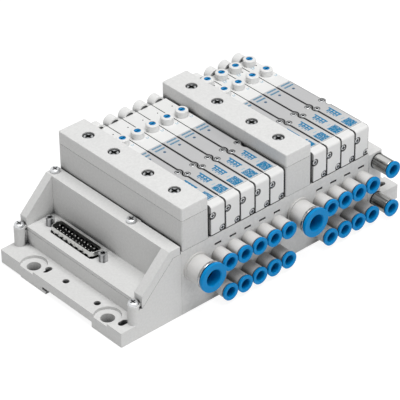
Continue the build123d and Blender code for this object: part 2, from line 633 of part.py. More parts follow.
def connector_shell():
    bottom = SHELF_Z - SHELF_THICKNESS
    top = SHELF_Z + SHELL_RISE
    plate_x = (CONNECTOR_X - SHELL_PLATE_WIDTH / 2, CONNECTOR_X + SHELL_PLATE_WIDTH / 2)
    plate_y = (CONNECTOR_Y - SHELL_PLATE_LENGTH / 2, CONNECTOR_Y + SHELL_PLATE_LENGTH / 2)
    plate = block(plate_x, plate_y, (bottom - SHELL_PLATE_THICKNESS, bottom))
    shell = plate + d_prism(SHELL_WIDTH, SHELL_LENGTH, bottom, top)
    hole_width = SHELL_WIDTH - 2 * SHELL_WALL
    hole_length = SHELL_LENGTH - 2 * SHELL_WALL
    shell -= d_prism(hole_width, hole_length, bottom - SHELL_PLATE_THICKNESS, top)
    for y in jackscrew_ys():
        place = (CONNECTOR_X, y)
        shell -= rod("z", place, JACKSCREW_THREAD_RADIUS + FIT, bottom - SHELL_PLATE_THICKNESS, bottom)
    count = int((SHELL_LENGTH - 2 * SHELL_CORNER - SHELL_WIDTH) / DIMPLE_PITCH)
    start = CONNECTOR_Y - (count - 1) * DIMPLE_PITCH / 2
    near = CONNECTOR_X - SHELL_WIDTH / 2
    dimple_z = SHELF_Z + SHELL_RISE / 2
    for i in range(count):
        place = (start + i * DIMPLE_PITCH, dimple_z)
        shell -= rod("x", place, DIMPLE_RADIUS, near, near + DIMPLE_DEPTH)
    return shell


def pin_places():
    """The shorter row lies on the near side."""
    places = []
    for side, count in zip((-1, 1), PIN_COUNTS):
        x = CONNECTOR_X + side * PIN_ROW_SPACING / 2
        start = CONNECTOR_Y - (count - 1) * PIN_PITCH / 2
        places += [(x, start + i * PIN_PITCH) for i in range(count)]
    return places


def insulator_span():
    top = SHELF_Z + SHELL_RISE - INSULATOR_SINK
    return top - INSULATOR_DEPTH, top


def connector_insulator():
    low, high = insulator_span()
    width = SHELL_WIDTH - 2 * SHELL_WALL - 2 * FIT
    length = SHELL_LENGTH - 2 * SHELL_WALL - 2 * FIT
    solid = d_prism(width, length, low, high)
    return cut(solid, [rod("z", place, PIN_RADIUS + FIT, low, high) for place in pin_places()])


def connector_pins():
    low = insulator_span()[0] - PIN_TAIL
    high = SHELF_Z + SHELL_RISE - PIN_SINK
    return [fillet(rod("z", place, PIN_RADIUS, low, high).edges().sort_by(Axis.Z)[-1:], PIN_RADIUS * 0.6)
            for place in pin_places()]


def connector_jackscrews():
    solids = []
    bottom = SHELF_Z - SHELF_THICKNESS - SHELL_PLATE_THICKNESS
    for y in jackscrew_ys():
        flats = RegularPolygon(JACKSCREW_ACROSS / 2, 6, major_radius=False)
        nut = extrude(Pos(CONNECTOR_X, y, SHELF_Z) * flats, amount=JACKSCREW_HEIGHT, dir=(0, 0, 1))
        nut = chamfer(nut.edges().group_by(Axis.Z)[-1], COLLAR_CHAMFER / 2)
        place = (CONNECTOR_X, y)
        nut += rod("z", place, JACKSCREW_THREAD_RADIUS, bottom - JACKSCREW_TAIL + SHELF_THICKNESS, SHELF_Z)
        top = SHELF_Z + JACKSCREW_HEIGHT
        nut -= rod("z", place, JACKSCREW_THREAD_RADIUS, top - JACKSCREW_THREAD_DEPTH, top)
        solids.append(nut)
    return solids


def circuit_boards():
    low, high = insulator_span()
    x = (LEFT_FLANGE_LENGTH + HOUSING_WALL + BOARD_MARGIN, recess_back_x())
    half = SHELL_PLATE_LENGTH / 2
    y = (CONNECTOR_Y - half, CONNECTOR_Y + half)
    socket_board = block(x, y, (low - BOARD_THICKNESS, low))
    tools = [rod("z", place, PIN_RADIUS + FIT, low - BOARD_THICKNESS, low) for place in pin_places()]
    socket_board = cut(socket_board, tools)
    start = recess_back_x() + SHELF_THICKNESS + BOARD_FIT
    channel = BOARD_CHANNEL_Y
    width = (channel[0] + BOARD_FIT, channel[1] - BOARD_FIT)
    top = BOARD_HEIGHT + BOARD_THICKNESS
    long_board = block((start, MANIFOLD_END - BOARD_CHANNEL_END - BOARD_FIT), width, (BOARD_HEIGHT, top))
    middle = sum(channel) / 2
    contact_y = (middle - CONTACT_DEPTH / 2, middle + CONTACT_DEPTH / 2)
    for centre in VALVE_CENTRES:
        contact_x = (centre - CONTACT_WIDTH / 2, centre + CONTACT_WIDTH / 2)
        long_board += block(contact_x, contact_y, (top, VALVE_BASE_Z))
    return [socket_board, long_board]


def screw(place, seat_z, size, length):
    """A cross-recess screw, head up, with its head resting at seat_z."""
    head, height, shank, recess, recess_depth = size
    body = rod("z", place, head, seat_z, seat_z + height)
    body = fillet(body.edges().sort_by(Axis.Z)[-1:], height * 0.4)
    body += rod("z", place, shank, seat_z - length, seat_z)
    top = (seat_z + height - recess_depth, seat_z + height)
    x, y = place
    reach = head * 0.62
    body -= block((x - reach, x + reach), (y - recess / 2, y + recess / 2), top)
    body -= block((x - recess / 2, x + recess / 2), (y - reach, y + reach), top)
    return body


def cover_screws():
    lower = [screw(place, BOSS_TOP_Z + EAR_THICKNESS, COVER_SCREW, COVER_SCREW_LENGTH - EAR_THICKNESS)
             for place in boss_places()]
    upper = [screw(place, COVER_TOP_Z, COVER_SCREW, COVER_SCREW_LENGTH - EAR_THICKNESS)
             for place in top_screw_places()]
    return lower + upper


def supply_blocks():
    solids = []
    for left in SUPPLY_LEFT:
        right = left + SUPPLY_WIDTH
        solid = block((left, right), (0, SUPPLY_DEPTH), (MANIFOLD_HEIGHT, VALVE_TOP_Z))
        solid = break_edges(round_edges(solid, Axis.Z, SUPPLY_EDGE_ROUND), Axis.Z, MANIFOLD_HEIGHT)
        for y in SUPPLY_SCREW_Y:
            place = ((left + right) / 2, y)
            solid -= rod("z", place, SUPPLY_SCREW[2] + FIT, MANIFOLD_HEIGHT, VALVE_TOP_Z)
        solids.append(solid)
    return solids


def supply_caps():
    solids = []
    top = VALVE_TOP_Z + SUPPLY_CAP_THICKNESS
    for left in SUPPLY_LEFT:
        right = left + SUPPLY_WIDTH
        solid = block((left, right), (0, SUPPLY_DEPTH), (VALVE_TOP_Z, top))
        solid = break_edges(round_edges(solid, Axis.Z, SUPPLY_EDGE_ROUND), Axis.Z, VALVE_TOP_Z)
        solid = fillet(solid.edges().group_by(Axis.Z)[-1], EDGE_ROUND)
        for y in SUPPLY_SCREW_Y:
            place = ((left + right) / 2, y)
            solid -= rod("z", place, SUPPLY_SCREW[2] + FIT, VALVE_TOP_Z, top)
            solid -= rod("z", place, SUPPLY_HEAD_POCKET[0], top - SUPPLY_HEAD_POCKET[1], top)
        solids.append(solid)
    return solids


def supply_cap_screws():
    seat = VALVE_TOP_Z + SUPPLY_CAP_THICKNESS - SUPPLY_HEAD_POCKET[1]
    length = seat - MANIFOLD_HEIGHT + SUPPLY_SCREW_THREAD - FIT
    return [screw((x, y), seat, SUPPLY_SCREW, length) for x in SUPPLY_CENTRES for y in SUPPLY_SCREW_Y]


def valve_outline(left, width, y, ears):
    """Plan outline of a valve body with its screw ears and the hollows for its neighbours' ears."""
    z = (VALVE_BASE_Z, VALVE_TOP_Z)
    solid = block((left, left + width), y, z)
    if not ears:
        return solid
    for side, place in zip((-1, 1), ear_positions(left)):
        solid += rod("z", place, EAR_RADIUS, *z)
    for side, (x, ear_y) in zip((-1, 1), ear_positions(left)):
        neighbour = ear_positions(left + side * VALVE_PITCH)[1 if side < 0 else 0]
        solid -= rod("z", neighbour, EAR_RADIUS + SEAM_GAP, *z)
    return solid


def cap_screw_places(left):
    high = (left + CAP_SCREW_INSET, VALVE_TOP_Z - CAP_SCREW_HIGH_DROP)
    low = (left + VALVE_WIDTH - CAP_SCREW_INSET, VALVE_BASE_Z + CAP_SCREW_LOW_RISE)
    return [high, low]


def valve_bodies():
    solids = []
    spool_z = VALVE_BASE_Z + SPOOL_HEIGHT
    for left, centre in zip(ALL_VALVES, VALVE_CENTRES):
        solid = valve_outline(left, VALVE_WIDTH, (FRONT_CAP_LENGTH, BODY_BACK_Y), True)
        bore = SPOOL_RADIUS + FIT
        cuts = [rod("y", (centre, spool_z), bore, FRONT_CAP_LENGTH, BODY_BACK_Y)]
        for offset in PORT_OFFSETS:
            place = (centre, CENTRE_PORT_Y + offset)
            cuts.append(rod("z", place, VALVE_PORT_RADIUS, VALVE_BASE_Z, spool_z))
        for place in ear_positions(left):
            cuts.append(rod("z", place, VALVE_SCREW[2] + FIT, VALVE_BASE_Z, VALVE_TOP_Z))
            cuts.append(rod("z", place, VALVE_SCREW[0] + FIT, VALVE_TOP_Z - VALVE_SCREW[1], VALVE_TOP_Z))
        for place in cap_screw_places(left):
            thread = CAP_SCREW[2] + THREAD_FIT
            end = CAP_HEAD_POCKET[1] + CAP_SCREW_LENGTH + FIT
            cuts.append(rod("y", place, thread, FRONT_CAP_LENGTH, end))
        solids.append(cut(solid, cuts))
    return solids


def valve_front_caps():
    solids = []
    for left in ALL_VALVES:
        solid = block((left, left + VALVE_WIDTH), (0, FRONT_CAP_LENGTH), (VALVE_BASE_Z, VALVE_TOP_Z))
        front_top = solid.edges().filter_by(Axis.X).sort_by(Axis.Y)[:2].sort_by(Axis.Z)[-1:]
        solid = break_edges(fillet(front_top, FRONT_CAP_ROUND), Axis.Y, FRONT_CAP_LENGTH)
        for place in cap_screw_places(left):
            solid -= rod("y", place, CAP_SCREW[2] + FIT, 0, FRONT_CAP_LENGTH)
            solid -= rod("y", place, CAP_HEAD_POCKET[0], 0, CAP_HEAD_POCKET[1])
        solids.append(solid)
    return solids


def front_screw(place):
    """A small screw that points backwards, its head in the cap's open pocket."""
    head, height, shank, recess, recess_depth = CAP_SCREW
    seat = CAP_HEAD_POCKET[1]
    x, z = place
    body = rod("y", place, head, seat - height, seat)
    body = fillet(body.edges().sort_by(Axis.Y)[:1], height * 0.4)
    body += rod("y", place, shank, seat, seat + CAP_SCREW_LENGTH)
    reach = head * 0.62
    front = (seat - height, seat - height + recess_depth)
    body -= block((x - reach, x + reach), front, (z - recess / 2, z + recess / 2))
    body -= block((x - recess / 2, x + recess / 2), front, (z - reach, z + reach))
    return body


def valve_screws():
    solids = []
    seat = VALVE_TOP_Z - VALVE_SCREW[1]
    length = seat - MANIFOLD_HEIGHT + VALVE_SCREW_DEPTH - FIT
    for left in ALL_VALVES:
        solids += [screw(place, seat, VALVE_SCREW, length) for place in ear_positions(left)]
        solids += [front_screw(place) for place in cap_screw_places(left)]
    return solids


def override_places():
    """Centres of the overrides: one on each valve of the first group, two on the others."""
    places = []
    for group, lefts in enumerate(VALVE_LEFT):
        for row in range(group + 1):
            y = BODY_BACK_Y + OVERRIDE_OFFSET + row * OVERRIDE_PITCH
            places += [(left + VALVE_WIDTH / 2, y) for left in lefts]
    return places


def pilot_head(left, overrides):
    margin = (PILOT_HEAD_WIDTH - VALVE_WIDTH) / 2
    x = (left - margin, left + VALVE_WIDTH + margin)
    centre = left + VALVE_WIDTH / 2
    solid = block(x, (BODY_BACK_Y, HEAD_BACK_Y), (VALVE_BASE_Z, VALVE_TOP_Z))
    solid = break_edges(solid, Axis.Y, BODY_BACK_Y)
    tail_z = VALVE_TOP_Z - TAIL_DROP
    solid += block(x, (HEAD_BACK_Y, HEAD_BACK_Y + TAIL_LENGTH), (VALVE_BASE_Z, tail_z))
    solid += tail_arch(centre, TAIL_WIDTH / 2, TAIL_RISE + TAIL_DROP, tail_z)
    solid -= tail_groove(centre, tail_z)
    for place in overrides:
        solid += rod("z", place, COLLAR_RADIUS, VALVE_TOP_Z, VALVE_TOP_Z + COLLAR_HEIGHT)
    rims = solid.edges().group_by(Axis.Z)[-1]
    solid = chamfer(rims, COLLAR_CHAMFER)
    roof = VALVE_TOP_Z - PILOT_ROOF
    for place in overrides:
        top = VALVE_TOP_Z + COLLAR_HEIGHT
        solid -= rod("z", place, BUTTON_RADIUS + FIT, roof, top)
        flange = BUTTON_RADIUS + BUTTON_FLANGE_WIDTH + FIT
        solid -= rod("z", place, flange, roof, button_step_z())
        solid -= rod("z", place, COIL_RADIUS + COIL_SEAT_GAP, VALVE_BASE_Z, roof)
    lamp = (centre + LAMP_OFFSET[0], BODY_BACK_Y + LAMP_OFFSET[1])
    solid -= rod("z", lamp, LAMP_RADIUS, VALVE_TOP_Z - LAMP_DEPTH, VALVE_TOP_Z)
    return solid


def tail_arch(centre, half, rise, base):
    """The rounded hump at the back of a pilot head."""
    y = HEAD_BACK_Y
    arch = ThreePointArc((centre - half, y, base), (centre, y, base + rise), (centre + half, y, base))
    foot = Line((centre + half, y, base), (centre - half, y, base))
    return extrude(make_face(arch + foot), amount=TAIL_LENGTH, dir=(0, 1, 0))


def tail_groove(centre, base):
    """A shallow arched step in the hump's front face."""
    y = HEAD_BACK_Y
    half = TAIL_WIDTH / 2 - TAIL_GROOVE_WALL
    rise = TAIL_RISE + TAIL_DROP - TAIL_GROOVE_WALL
    arch = ThreePointArc((centre - half, y, base), (centre, y, base + rise), (centre + half, y, base))
    foot = Line((centre + half, y, base), (centre - half, y, base))
    return extrude(make_face(arch + foot), amount=TAIL_GROOVE_DEPTH, dir=(0, 1, 0))


def button_step_z():
    """Height of the step that holds a button's flange at rest."""
    return VALVE_TOP_Z - PILOT_ROOF + BUTTON_FLANGE_THICKNESS + BUTTON_TRAVEL + FIT


def pilot_heads():
    solids = []
    places = override_places()
    for left in ALL_VALVES:
        centre = left + VALVE_WIDTH / 2
        own = [place for place in places if abs(place[0] - centre) < VALVE_PITCH / 2]
        solids.append(pilot_head(left, own))
    return solids


def override_button(place):
    step = button_step_z()
    flange = BUTTON_RADIUS + BUTTON_FLANGE_WIDTH
    top = VALVE_TOP_Z + COLLAR_HEIGHT - BUTTON_SINK
    body = turned("z", place, [(BUTTON_RADIUS, step, top), (flange, step - BUTTON_FLANGE_THICKNESS, step)])
    x, y = place
    reach = BUTTON_RADIUS * 0.75
    slot_z = (top - BUTTON_SLOT_DEPTH, top)
    half = BUTTON_SLOT_WIDTH / 2
    return body - block((x - reach, x + reach), (y - half, y + half), slot_z)


def pilot_coils():
    top = VALVE_TOP_Z - PILOT_ROOF
    return [tube("z", place, COIL_RADIUS, COIL_BORE_RADIUS, top - COIL_LENGTH, top)
            for place in override_places()]


def spool(centre):
    z = VALVE_BASE_Z + SPOOL_HEIGHT
    low, high = FRONT_CAP_LENGTH + SPOOL_END_ROOM, BODY_BACK_Y - SPOOL_END_ROOM
    body = rod("y", (centre, z), SPOOL_NECK_RADIUS, low, high)
    half = SPOOL_LAND_LENGTH / 2
    lands = [CENTRE_PORT_Y + offset + VALVE_PORT_PITCH / 2 for offset in PORT_OFFSETS[:-1]]
    for y in [low + half] + lands + [high - half]:
        body += rod("y", (centre, z), SPOOL_RADIUS, y - half, y + half)
    return body


def gaskets():
    """Seals under the valves, plus the washers of the metal ports."""
    solids = []
    z = (MANIFOLD_HEIGHT, VALVE_BASE_Z)
    for left, centre in zip(ALL_VALVES, VALVE_CENTRES):
        x = (left + GASKET_INSET, left + VALVE_WIDTH - GASKET_INSET)
        solid = block(x, (GASKET_INSET, HEAD_BACK_Y), z)
        port_y = [CENTRE_PORT_Y + offset for offset in PORT_OFFSETS] + [PILOT_GALLERY_Y, PILOT_EXHAUST_Y]
        tools = [rod("z", (centre, y), VALVE_PORT_RADIUS, *z) for y in port_y]
        tools += [rod("z", place, VALVE_SCREW[2] + FIT, *z) for place in ear_positions(left)]
        tools.append(contact_window(centre, z))
        solids.append(cut(solid, tools))
    for z_port in PILOT_PORT_Z:
        hole = PILOT_PORT["spigot"] + FIT
        solids.append(tube("y", (PILOT_PORT_X, z_port), WASHER_RADIUS, hole, -WASHER_THICKNESS, 0))
    return solids


def sleeve_room(size):
    """Length of the pocket that takes the release ring's sleeve and the collet."""
    gap_and_flange = RING_GAP
    return size["sleeve_length"] - gap_and_flange + RING_TRAVEL + COLLET_ROOM + COLLET_THICKNESS


def port_front(size, rim=0):
    """Y of a port body's front face, where the release ring's gap starts."""
    return -size["reach"] - rim


def radius_behind_tube_bore(size):
    """A relief a little wider than the tube, or the air duct where the spigot is too thin for that."""
    relief = size["tube"] + TUBE_RELIEF
    return relief if size["spigot"] - relief > THIN_SPIGOT_WALL else size["duct"]


def port_body(place, size, rim=0, base=0):
    """A push-in port body: spigot in the manifold, outer body, tube bore and sleeve pocket."""
    front = -size["reach"]
    steps = [(size["body"], front, -base), (size["spigot"], -base, size["depth"])]
    solid = turned("y", place, steps)
    solid = fillet(solid.edges().sort_by(Axis.Y)[:1], EDGE_ROUND / 2)
    pocket_end = port_front(size, rim) + sleeve_room(size)
    cuts = [rod("y", place, size["sleeve"] + FIT, front, pocket_end)]
    cuts.append(rod("y", place, size["tube"], pocket_end, size["seat"]))
    cuts.append(rod("y", place, radius_behind_tube_bore(size), size["seat"], size["depth"]))
    return cut(solid, cuts)


def port_collet(place, size, rim=0):
    """The gripping collet at the bottom of the sleeve pocket."""
    end = port_front(size, rim) + sleeve_room(size)
    return tube("y", place, size["sleeve"], size["tube"], end - COLLET_THICKNESS, end)


def release_ring(place, size, rim=0):
    """A release ring: a flange that a finger pushes and a sleeve that opens the collet."""
    back = port_front(size, rim) - RING_GAP
    front = back - size["ring_thickness"]
    flange = rod("y", place, size["ring"], front, back)
    flange = fillet(flange.edges(), EDGE_ROUND / 2)
    solid = flange + rod("y", place, size["sleeve"], back, back + size["sleeve_length"])
    solid -= rod("y", place, size["tube"], front, back + size["sleeve_length"])
    mouth = solid.edges().group_by(Axis.Y)[0].sort_by(SortBy.RADIUS)[:1]
    return chamfer(mouth, PORT_MOUTH_CHAMFER)


def work_port_places(z):
    return [(centre, z) for centre in VALVE_CENTRES]


def work_port_bodies():
    places = work_port_places(UPPER_ROW_Z) + work_port_places(LOWER_ROW_Z)
    return [port_body(place, WORK_PORT) for place in places]


def large_port_bodies():
    solids = []
    for place in large_port_positions():
        solid = port_body(place, LARGE_PORT, RIM_THICKNESS)
        inner = LARGE_PORT["body"]
        solid += tube("y", place, LARGE_FOOT_RADIUS, inner, -LARGE_FOOT_THICKNESS, 0)
        solids.append(solid)
    return solids


def large_port_rims():
    front = port_front(LARGE_PORT, RIM_THICKNESS)
    inner = LARGE_PORT["sleeve"] + FIT
    back = -LARGE_PORT["reach"]
    rims = [tube("y", place, RIM_RADIUS, inner, front, back) for place in large_port_positions()]
    return [fillet(rim.edges().sort_by(Axis.Y)[:1], EDGE_ROUND / 2) for rim in rims]


def pilot_port_places():
    return [(PILOT_PORT_X, z) for z in PILOT_PORT_Z]


def pilot_port_bodies():
    return [port_body(place, PILOT_PORT, base=WASHER_THICKNESS) for place in pilot_port_places()]


def port_collets():
    work_places = work_port_places(UPPER_ROW_Z) + work_port_places(LOWER_ROW_Z)
    solids = [port_collet(place, WORK_PORT) for place in work_places]
    solids += [port_collet(place, LARGE_PORT, RIM_THICKNESS) for place in large_port_positions()]
    solids += [port_collet(place, PILOT_PORT) for place in pilot_port_places()]
    return solids


def fixed_pieces():
    return {
        "manifold_base": [manifold_base()],
        "right_end_plate": [right_end_plate()],
        "connector_housing": [connector_housing()],
        "connector_cover": [connector_cover()],
        "cover_screws": cover_screws(),
        "connector_shell": [connector_shell()],
        "connector_insulator": [connector_insulator()],
        "connector_pins": connector_pins(),
        "connector_jackscrews": connector_jackscrews(),
        "circuit_boards": circuit_boards(),
        "supply_blocks": supply_blocks(),
        "supply_caps": supply_caps(),
        "supply_cap_screws": supply_cap_screws(),
        "gaskets": gaskets(),
        "valve_bodies": valve_bodies(),
        "valve_front_caps": valve_front_caps(),
        "valve_screws": valve_screws(),
        "pilot_heads": pilot_heads(),
        "pilot_coils": pilot_coils(),
        "spools": [spool(centre) for centre in VALVE_CENTRES],
        "work_port_bodies": work_port_bodies(),
        "large_port_bodies": large_port_bodies(),
        "large_port_rims": large_port_rims(),
        "pilot_port_bodies": pilot_port_bodies(),
        "port_collets": port_collets(),
    }


def moving_pieces():
    pieces = {}
    for i, place in enumerate(override_places(), 1):
        pieces[f"override_button_{i:02d}"] = [override_button(place)]
    for row, z in (("upper", UPPER_ROW_Z), ("lower", LOWER_ROW_Z)):
        for i, place in enumerate(work_port_places(z), 1):
            pieces[f"{row}_release_ring_{i}"] = [release_ring(place, WORK_PORT)]
    for name, place in zip(("supply", "exhaust"), large_port_positions()):
        pieces[f"{name}_release_ring"] = [release_ring(place, LARGE_PORT, RIM_THICKNESS)]
    for name, place in zip(("pilot_supply", "pilot_exhaust"), pilot_port_places()):
        pieces[f"{name}_release_ring"] = [release_ring(place, PILOT_PORT)]
    return pieces


os.makedirs("parts", exist_ok=True)
for name, solids in (fixed_pieces() | moving_pieces()).items():
    moved = [Pos(-ORIGIN[0], -ORIGIN[1], -ORIGIN[2]) * solid for solid in solids]
    separate = [piece for shape in moved for piece in shape.solids()]
    export_step(separate[0] if len(separate) == 1 else Compound(separate), f"parts/{name}.step")
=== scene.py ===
"""Looks of a pneumatic valve island: finishes, prints on the valves, studio and camera."""

import logging
import math
from dataclasses import dataclass, field, replace
from enum import Enum
from typing import Iterable, Sequence

import bmesh
import bpy
from mathutils import Matrix, Vector

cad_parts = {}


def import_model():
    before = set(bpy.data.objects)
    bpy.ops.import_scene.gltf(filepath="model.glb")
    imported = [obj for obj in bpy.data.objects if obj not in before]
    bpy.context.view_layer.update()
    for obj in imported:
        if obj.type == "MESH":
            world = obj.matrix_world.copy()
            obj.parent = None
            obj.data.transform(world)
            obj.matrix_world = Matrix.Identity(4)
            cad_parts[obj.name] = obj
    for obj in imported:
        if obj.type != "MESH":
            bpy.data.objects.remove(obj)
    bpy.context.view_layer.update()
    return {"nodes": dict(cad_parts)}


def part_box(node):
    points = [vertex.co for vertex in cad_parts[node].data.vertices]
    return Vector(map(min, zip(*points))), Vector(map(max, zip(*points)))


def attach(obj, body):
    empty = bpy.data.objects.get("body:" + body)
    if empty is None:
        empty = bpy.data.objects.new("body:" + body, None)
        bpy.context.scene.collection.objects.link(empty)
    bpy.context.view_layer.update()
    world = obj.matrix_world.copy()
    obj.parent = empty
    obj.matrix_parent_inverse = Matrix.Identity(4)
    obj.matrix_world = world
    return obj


log = logging.getLogger("valve_island")
MM = 0.001
# Place of the boolean among the outputs of a random value node, which all share one name
BOOLEAN_OUTPUT = 3


def linear(colour: str, alpha: float = 1.0) -> tuple[float, float, float, float]:
    """Turns an sRGB hex colour into the linear values that a shader reads.

    Args:
        colour: Colour such as "#E8E8E8".
        alpha: Opacity to append.

    Returns:
        Linear red, green, blue and alpha.
    """
    values = []
    for start in (1, 3, 5):
        level = int(colour[start : start + 2], 16) / 255
        values.append(level / 12.92 if level <= 0.04045 else ((level + 0.055) / 1.055) ** 2.4)
    return (values[0], values[1], values[2], alpha)


def add(
    tree: bpy.types.NodeTree,
    kind: str,
    settings: dict[str, object] | None = None,
    inputs: dict[str | int, object] | None = None,
) -> bpy.types.Node:
    """Adds a node with its settings and links.

    Args:
        tree: Node tree to add to.
        kind: Node type identifier.
        settings: Attributes of the node.
        inputs: Socket name or number to a value, or to the output socket that feeds it.

    Returns:
        The new node.
    """
    node = tree.nodes.new(kind)
    for name, value in (settings or {}).items():
        setattr(node, name, value)
    for key, value in (inputs or {}).items():
        if isinstance(value, bpy.types.NodeSocket):
            tree.links.new(value, node.inputs[key])
        else:
            node.inputs[key].default_value = value
    return node


def pattern_scale(size_mm: float) -> float:
    """Gives the noise scale whose features are about size_mm wide on Object coordinates in metres."""
    return 1000 / size_mm


def object_axes(tree: bpy.types.NodeTree) -> bpy.types.NodeOutputs:
    """Adds Object coordinates, in metres, split into the outputs X, Y and Z, which it returns."""
    place = add(tree, "ShaderNodeTexCoord")
    return add(tree, "ShaderNodeSeparateXYZ", None, {0: place.outputs["Object"]}).outputs


class Grain(Enum):
    """Direction in which a surface was worked, or in which painted reflection streaks run, as stretch factors
    along X, Y and Z.
    """

    EVEN = (1.0, 1.0, 1.0)
    FRONT_TO_BACK = (1.0, 0.02, 1.0)
    AROUND_PORTS = (0.05, 1.0, 0.05)
    UPRIGHT = (1.0, 1.0, 0.03)


@dataclass(frozen=True)
class Finish:
    """A plain finish with fine grain, slightly rounded edges and painted shade in gaps, hollows and along
    rims.

    Lengths ending in _mm are real sizes in millimetres, but the grain is coarser than the real one, which
    is too fine to show in the render. The tint is a second colour that drifts over the first in clouds of
    tint_mm; on the polished nut and tube its streaks are painted reflections. Painted shade takes
    shade_colour where the openness within shade_reach_mm, between 0 for buried and 1 for open, falls through
    the shelter range. Painted shade also darkens rims within rim_mm of an outer edge, through rim_range in
    the same way, and only between the two Y of rim_span in metres.
    """

    name: str
    colour: str
    roughness: float = 0.5
    metallic: float = 0.0
    specular: float = 0.5
    tint: str = ""
    tint_mm: float = 9.0
    tint_spread: float = 0.5
    tint_grain: Grain = Grain.EVEN
    grain: Grain = Grain.EVEN
    grain_mm: float = 0.45
    grain_depth_mm: float = 0.02
    rough_swing: float = 0.06
    edge_mm: float = 0.22
    # Colour of the painted shade in gaps, hollows and along rims
    shade_colour: str = "#35373A"
    # Reach of the painted shade in gaps, in millimetres
    shade_reach_mm: float = 1.3
    shelter: tuple[float, float] = (0.12, 0.52)
    rim_mm: float = 0.0
    rim_range: tuple[float, float] = (0.55, 0.9)
    rim_span: tuple[float, float] = (-1.0, 1.0)

    def coordinates(self, tree: bpy.types.NodeTree, grain: Grain) -> bpy.types.NodeSocket:
        """Adds Object coordinates stretched along a grain.

        Args:
            tree: Material node tree.
            grain: Direction in which the pattern runs.

        Returns:
            Socket of the coordinates.
        """
        place = add(tree, "ShaderNodeTexCoord")
        mapping = add(
            tree, "ShaderNodeMapping", None, {"Vector": place.outputs["Object"], "Scale": grain.value}
        )
        return mapping.outputs["Vector"]

    def base(self, tree: bpy.types.NodeTree) -> bpy.types.NodeSocket:
        """Adds the drift between the colour and its tint: cloudy, or in streaks where the spread is small,
        which on the polished nut and tube are painted reflections.

        Args:
            tree: Material node tree.

        Returns:
            Colour socket before the seams are darkened.
        """
        place = self.coordinates(tree, self.tint_grain)
        cloud = add(
            tree,
            "ShaderNodeTexNoise",
            None,
            {"Vector": place, "Scale": pattern_scale(self.tint_mm), "Detail": 3.0},
        )
        drift = add(
            tree,
            "ShaderNodeMapRange",
            None,
            {
                "Value": cloud.outputs[0],
                "From Min": 0.5 - self.tint_spread,
                "From Max": 0.5 + self.tint_spread,
            },
        )
        inputs = {0: drift.outputs[0], 6: linear(self.colour), 7: linear(self.tint or self.colour)}
        return add(tree, "ShaderNodeMix", {"data_type": "RGBA"}, inputs).outputs[2]

    def painted_gap_shade(self, tree: bpy.types.NodeTree, colour: bpy.types.NodeSocket) -> bpy.types.NodeSocket:
        """Paints shade into narrow gaps, holes and hollows and under neighbouring parts, where little light
        falls.

        Args:
            tree: Material node tree.
            colour: Colour to darken.

        Returns:
            Darkened colour socket.
        """
        shelter = add(
            tree, "ShaderNodeAmbientOcclusion", {"samples": 8}, {"Distance": self.shade_reach_mm * MM}
        )
        open_air = add(
            tree,
            "ShaderNodeMapRange",
            None,
            {"Value": shelter.outputs["AO"], "From Min": self.shelter[0], "From Max": self.shelter[1]},
        )
        inputs = {0: open_air.outputs[0], 6: linear(self.shade_colour), 7: colour}
        return add(tree, "ShaderNodeMix", {"data_type": "RGBA"}, inputs).outputs[2]

    def painted_rim_shade(self, tree: bpy.types.NodeTree, colour: bpy.types.NodeSocket) -> bpy.types.NodeSocket:
        """Paints shade in a narrow band along outer edges, which widens the dark of a gap beside them.

        Args:
            tree: Material node tree.
            colour: Colour to darken.

        Returns:
            Darkened colour socket, or the same one where rim_mm is 0.
        """
        if not self.rim_mm:
            return colour
        near = add(
            tree,
            "ShaderNodeAmbientOcclusion",
            {"samples": 8, "inside": True, "only_local": True},
            {"Distance": self.rim_mm * MM},
        )
        rim = add(
            tree,
            "ShaderNodeMapRange",
            None,
            {
                "Value": near.outputs["AO"],
                "From Min": self.rim_range[0],
                "From Max": self.rim_range[1],
                "To Min": 1.0,
                "To Max": 0.0,
            },
        )
        depth = object_axes(tree)["Y"]
        share = rim.outputs[0]
        for operation, limit in zip(("GREATER_THAN", "LESS_THAN"), self.rim_span):
            side = add(tree, "ShaderNodeMath", {"operation": operation}, {0: depth, 1: limit})
            both = add(tree, "ShaderNodeMath", {"operation": "MULTIPLY"}, {0: share, 1: side.outputs[0]})
            share = both.outputs[0]
        # Painted rim shade, only within rim_span along Y
        inputs = {0: share, 6: colour, 7: linear(self.shade_colour)}
        return add(tree, "ShaderNodeMix", {"data_type": "RGBA"}, inputs).outputs[2]

    def relief(self, tree: bpy.types.NodeTree, height: bpy.types.NodeSocket) -> bpy.types.NodeSocket:
        """Adds the grain as bump over edges that are rounded by a fraction of a millimetre.

        Args:
            tree: Material node tree.
            height: Grain height between 0 and 1.

        Returns:
            Normal socket.
        """
        edge = add(tree, "ShaderNodeBevel", {"samples": 6}, {"Radius": self.edge_mm * MM})
        bump = add(
            tree,
            "ShaderNodeBump",
            None,
            {
                "Strength": 0.6,
                "Distance": self.grain_depth_mm * MM,
                "Height": height,
                "Normal": edge.outputs["Normal"],
            },
        )
        return bump.outputs["Normal"]

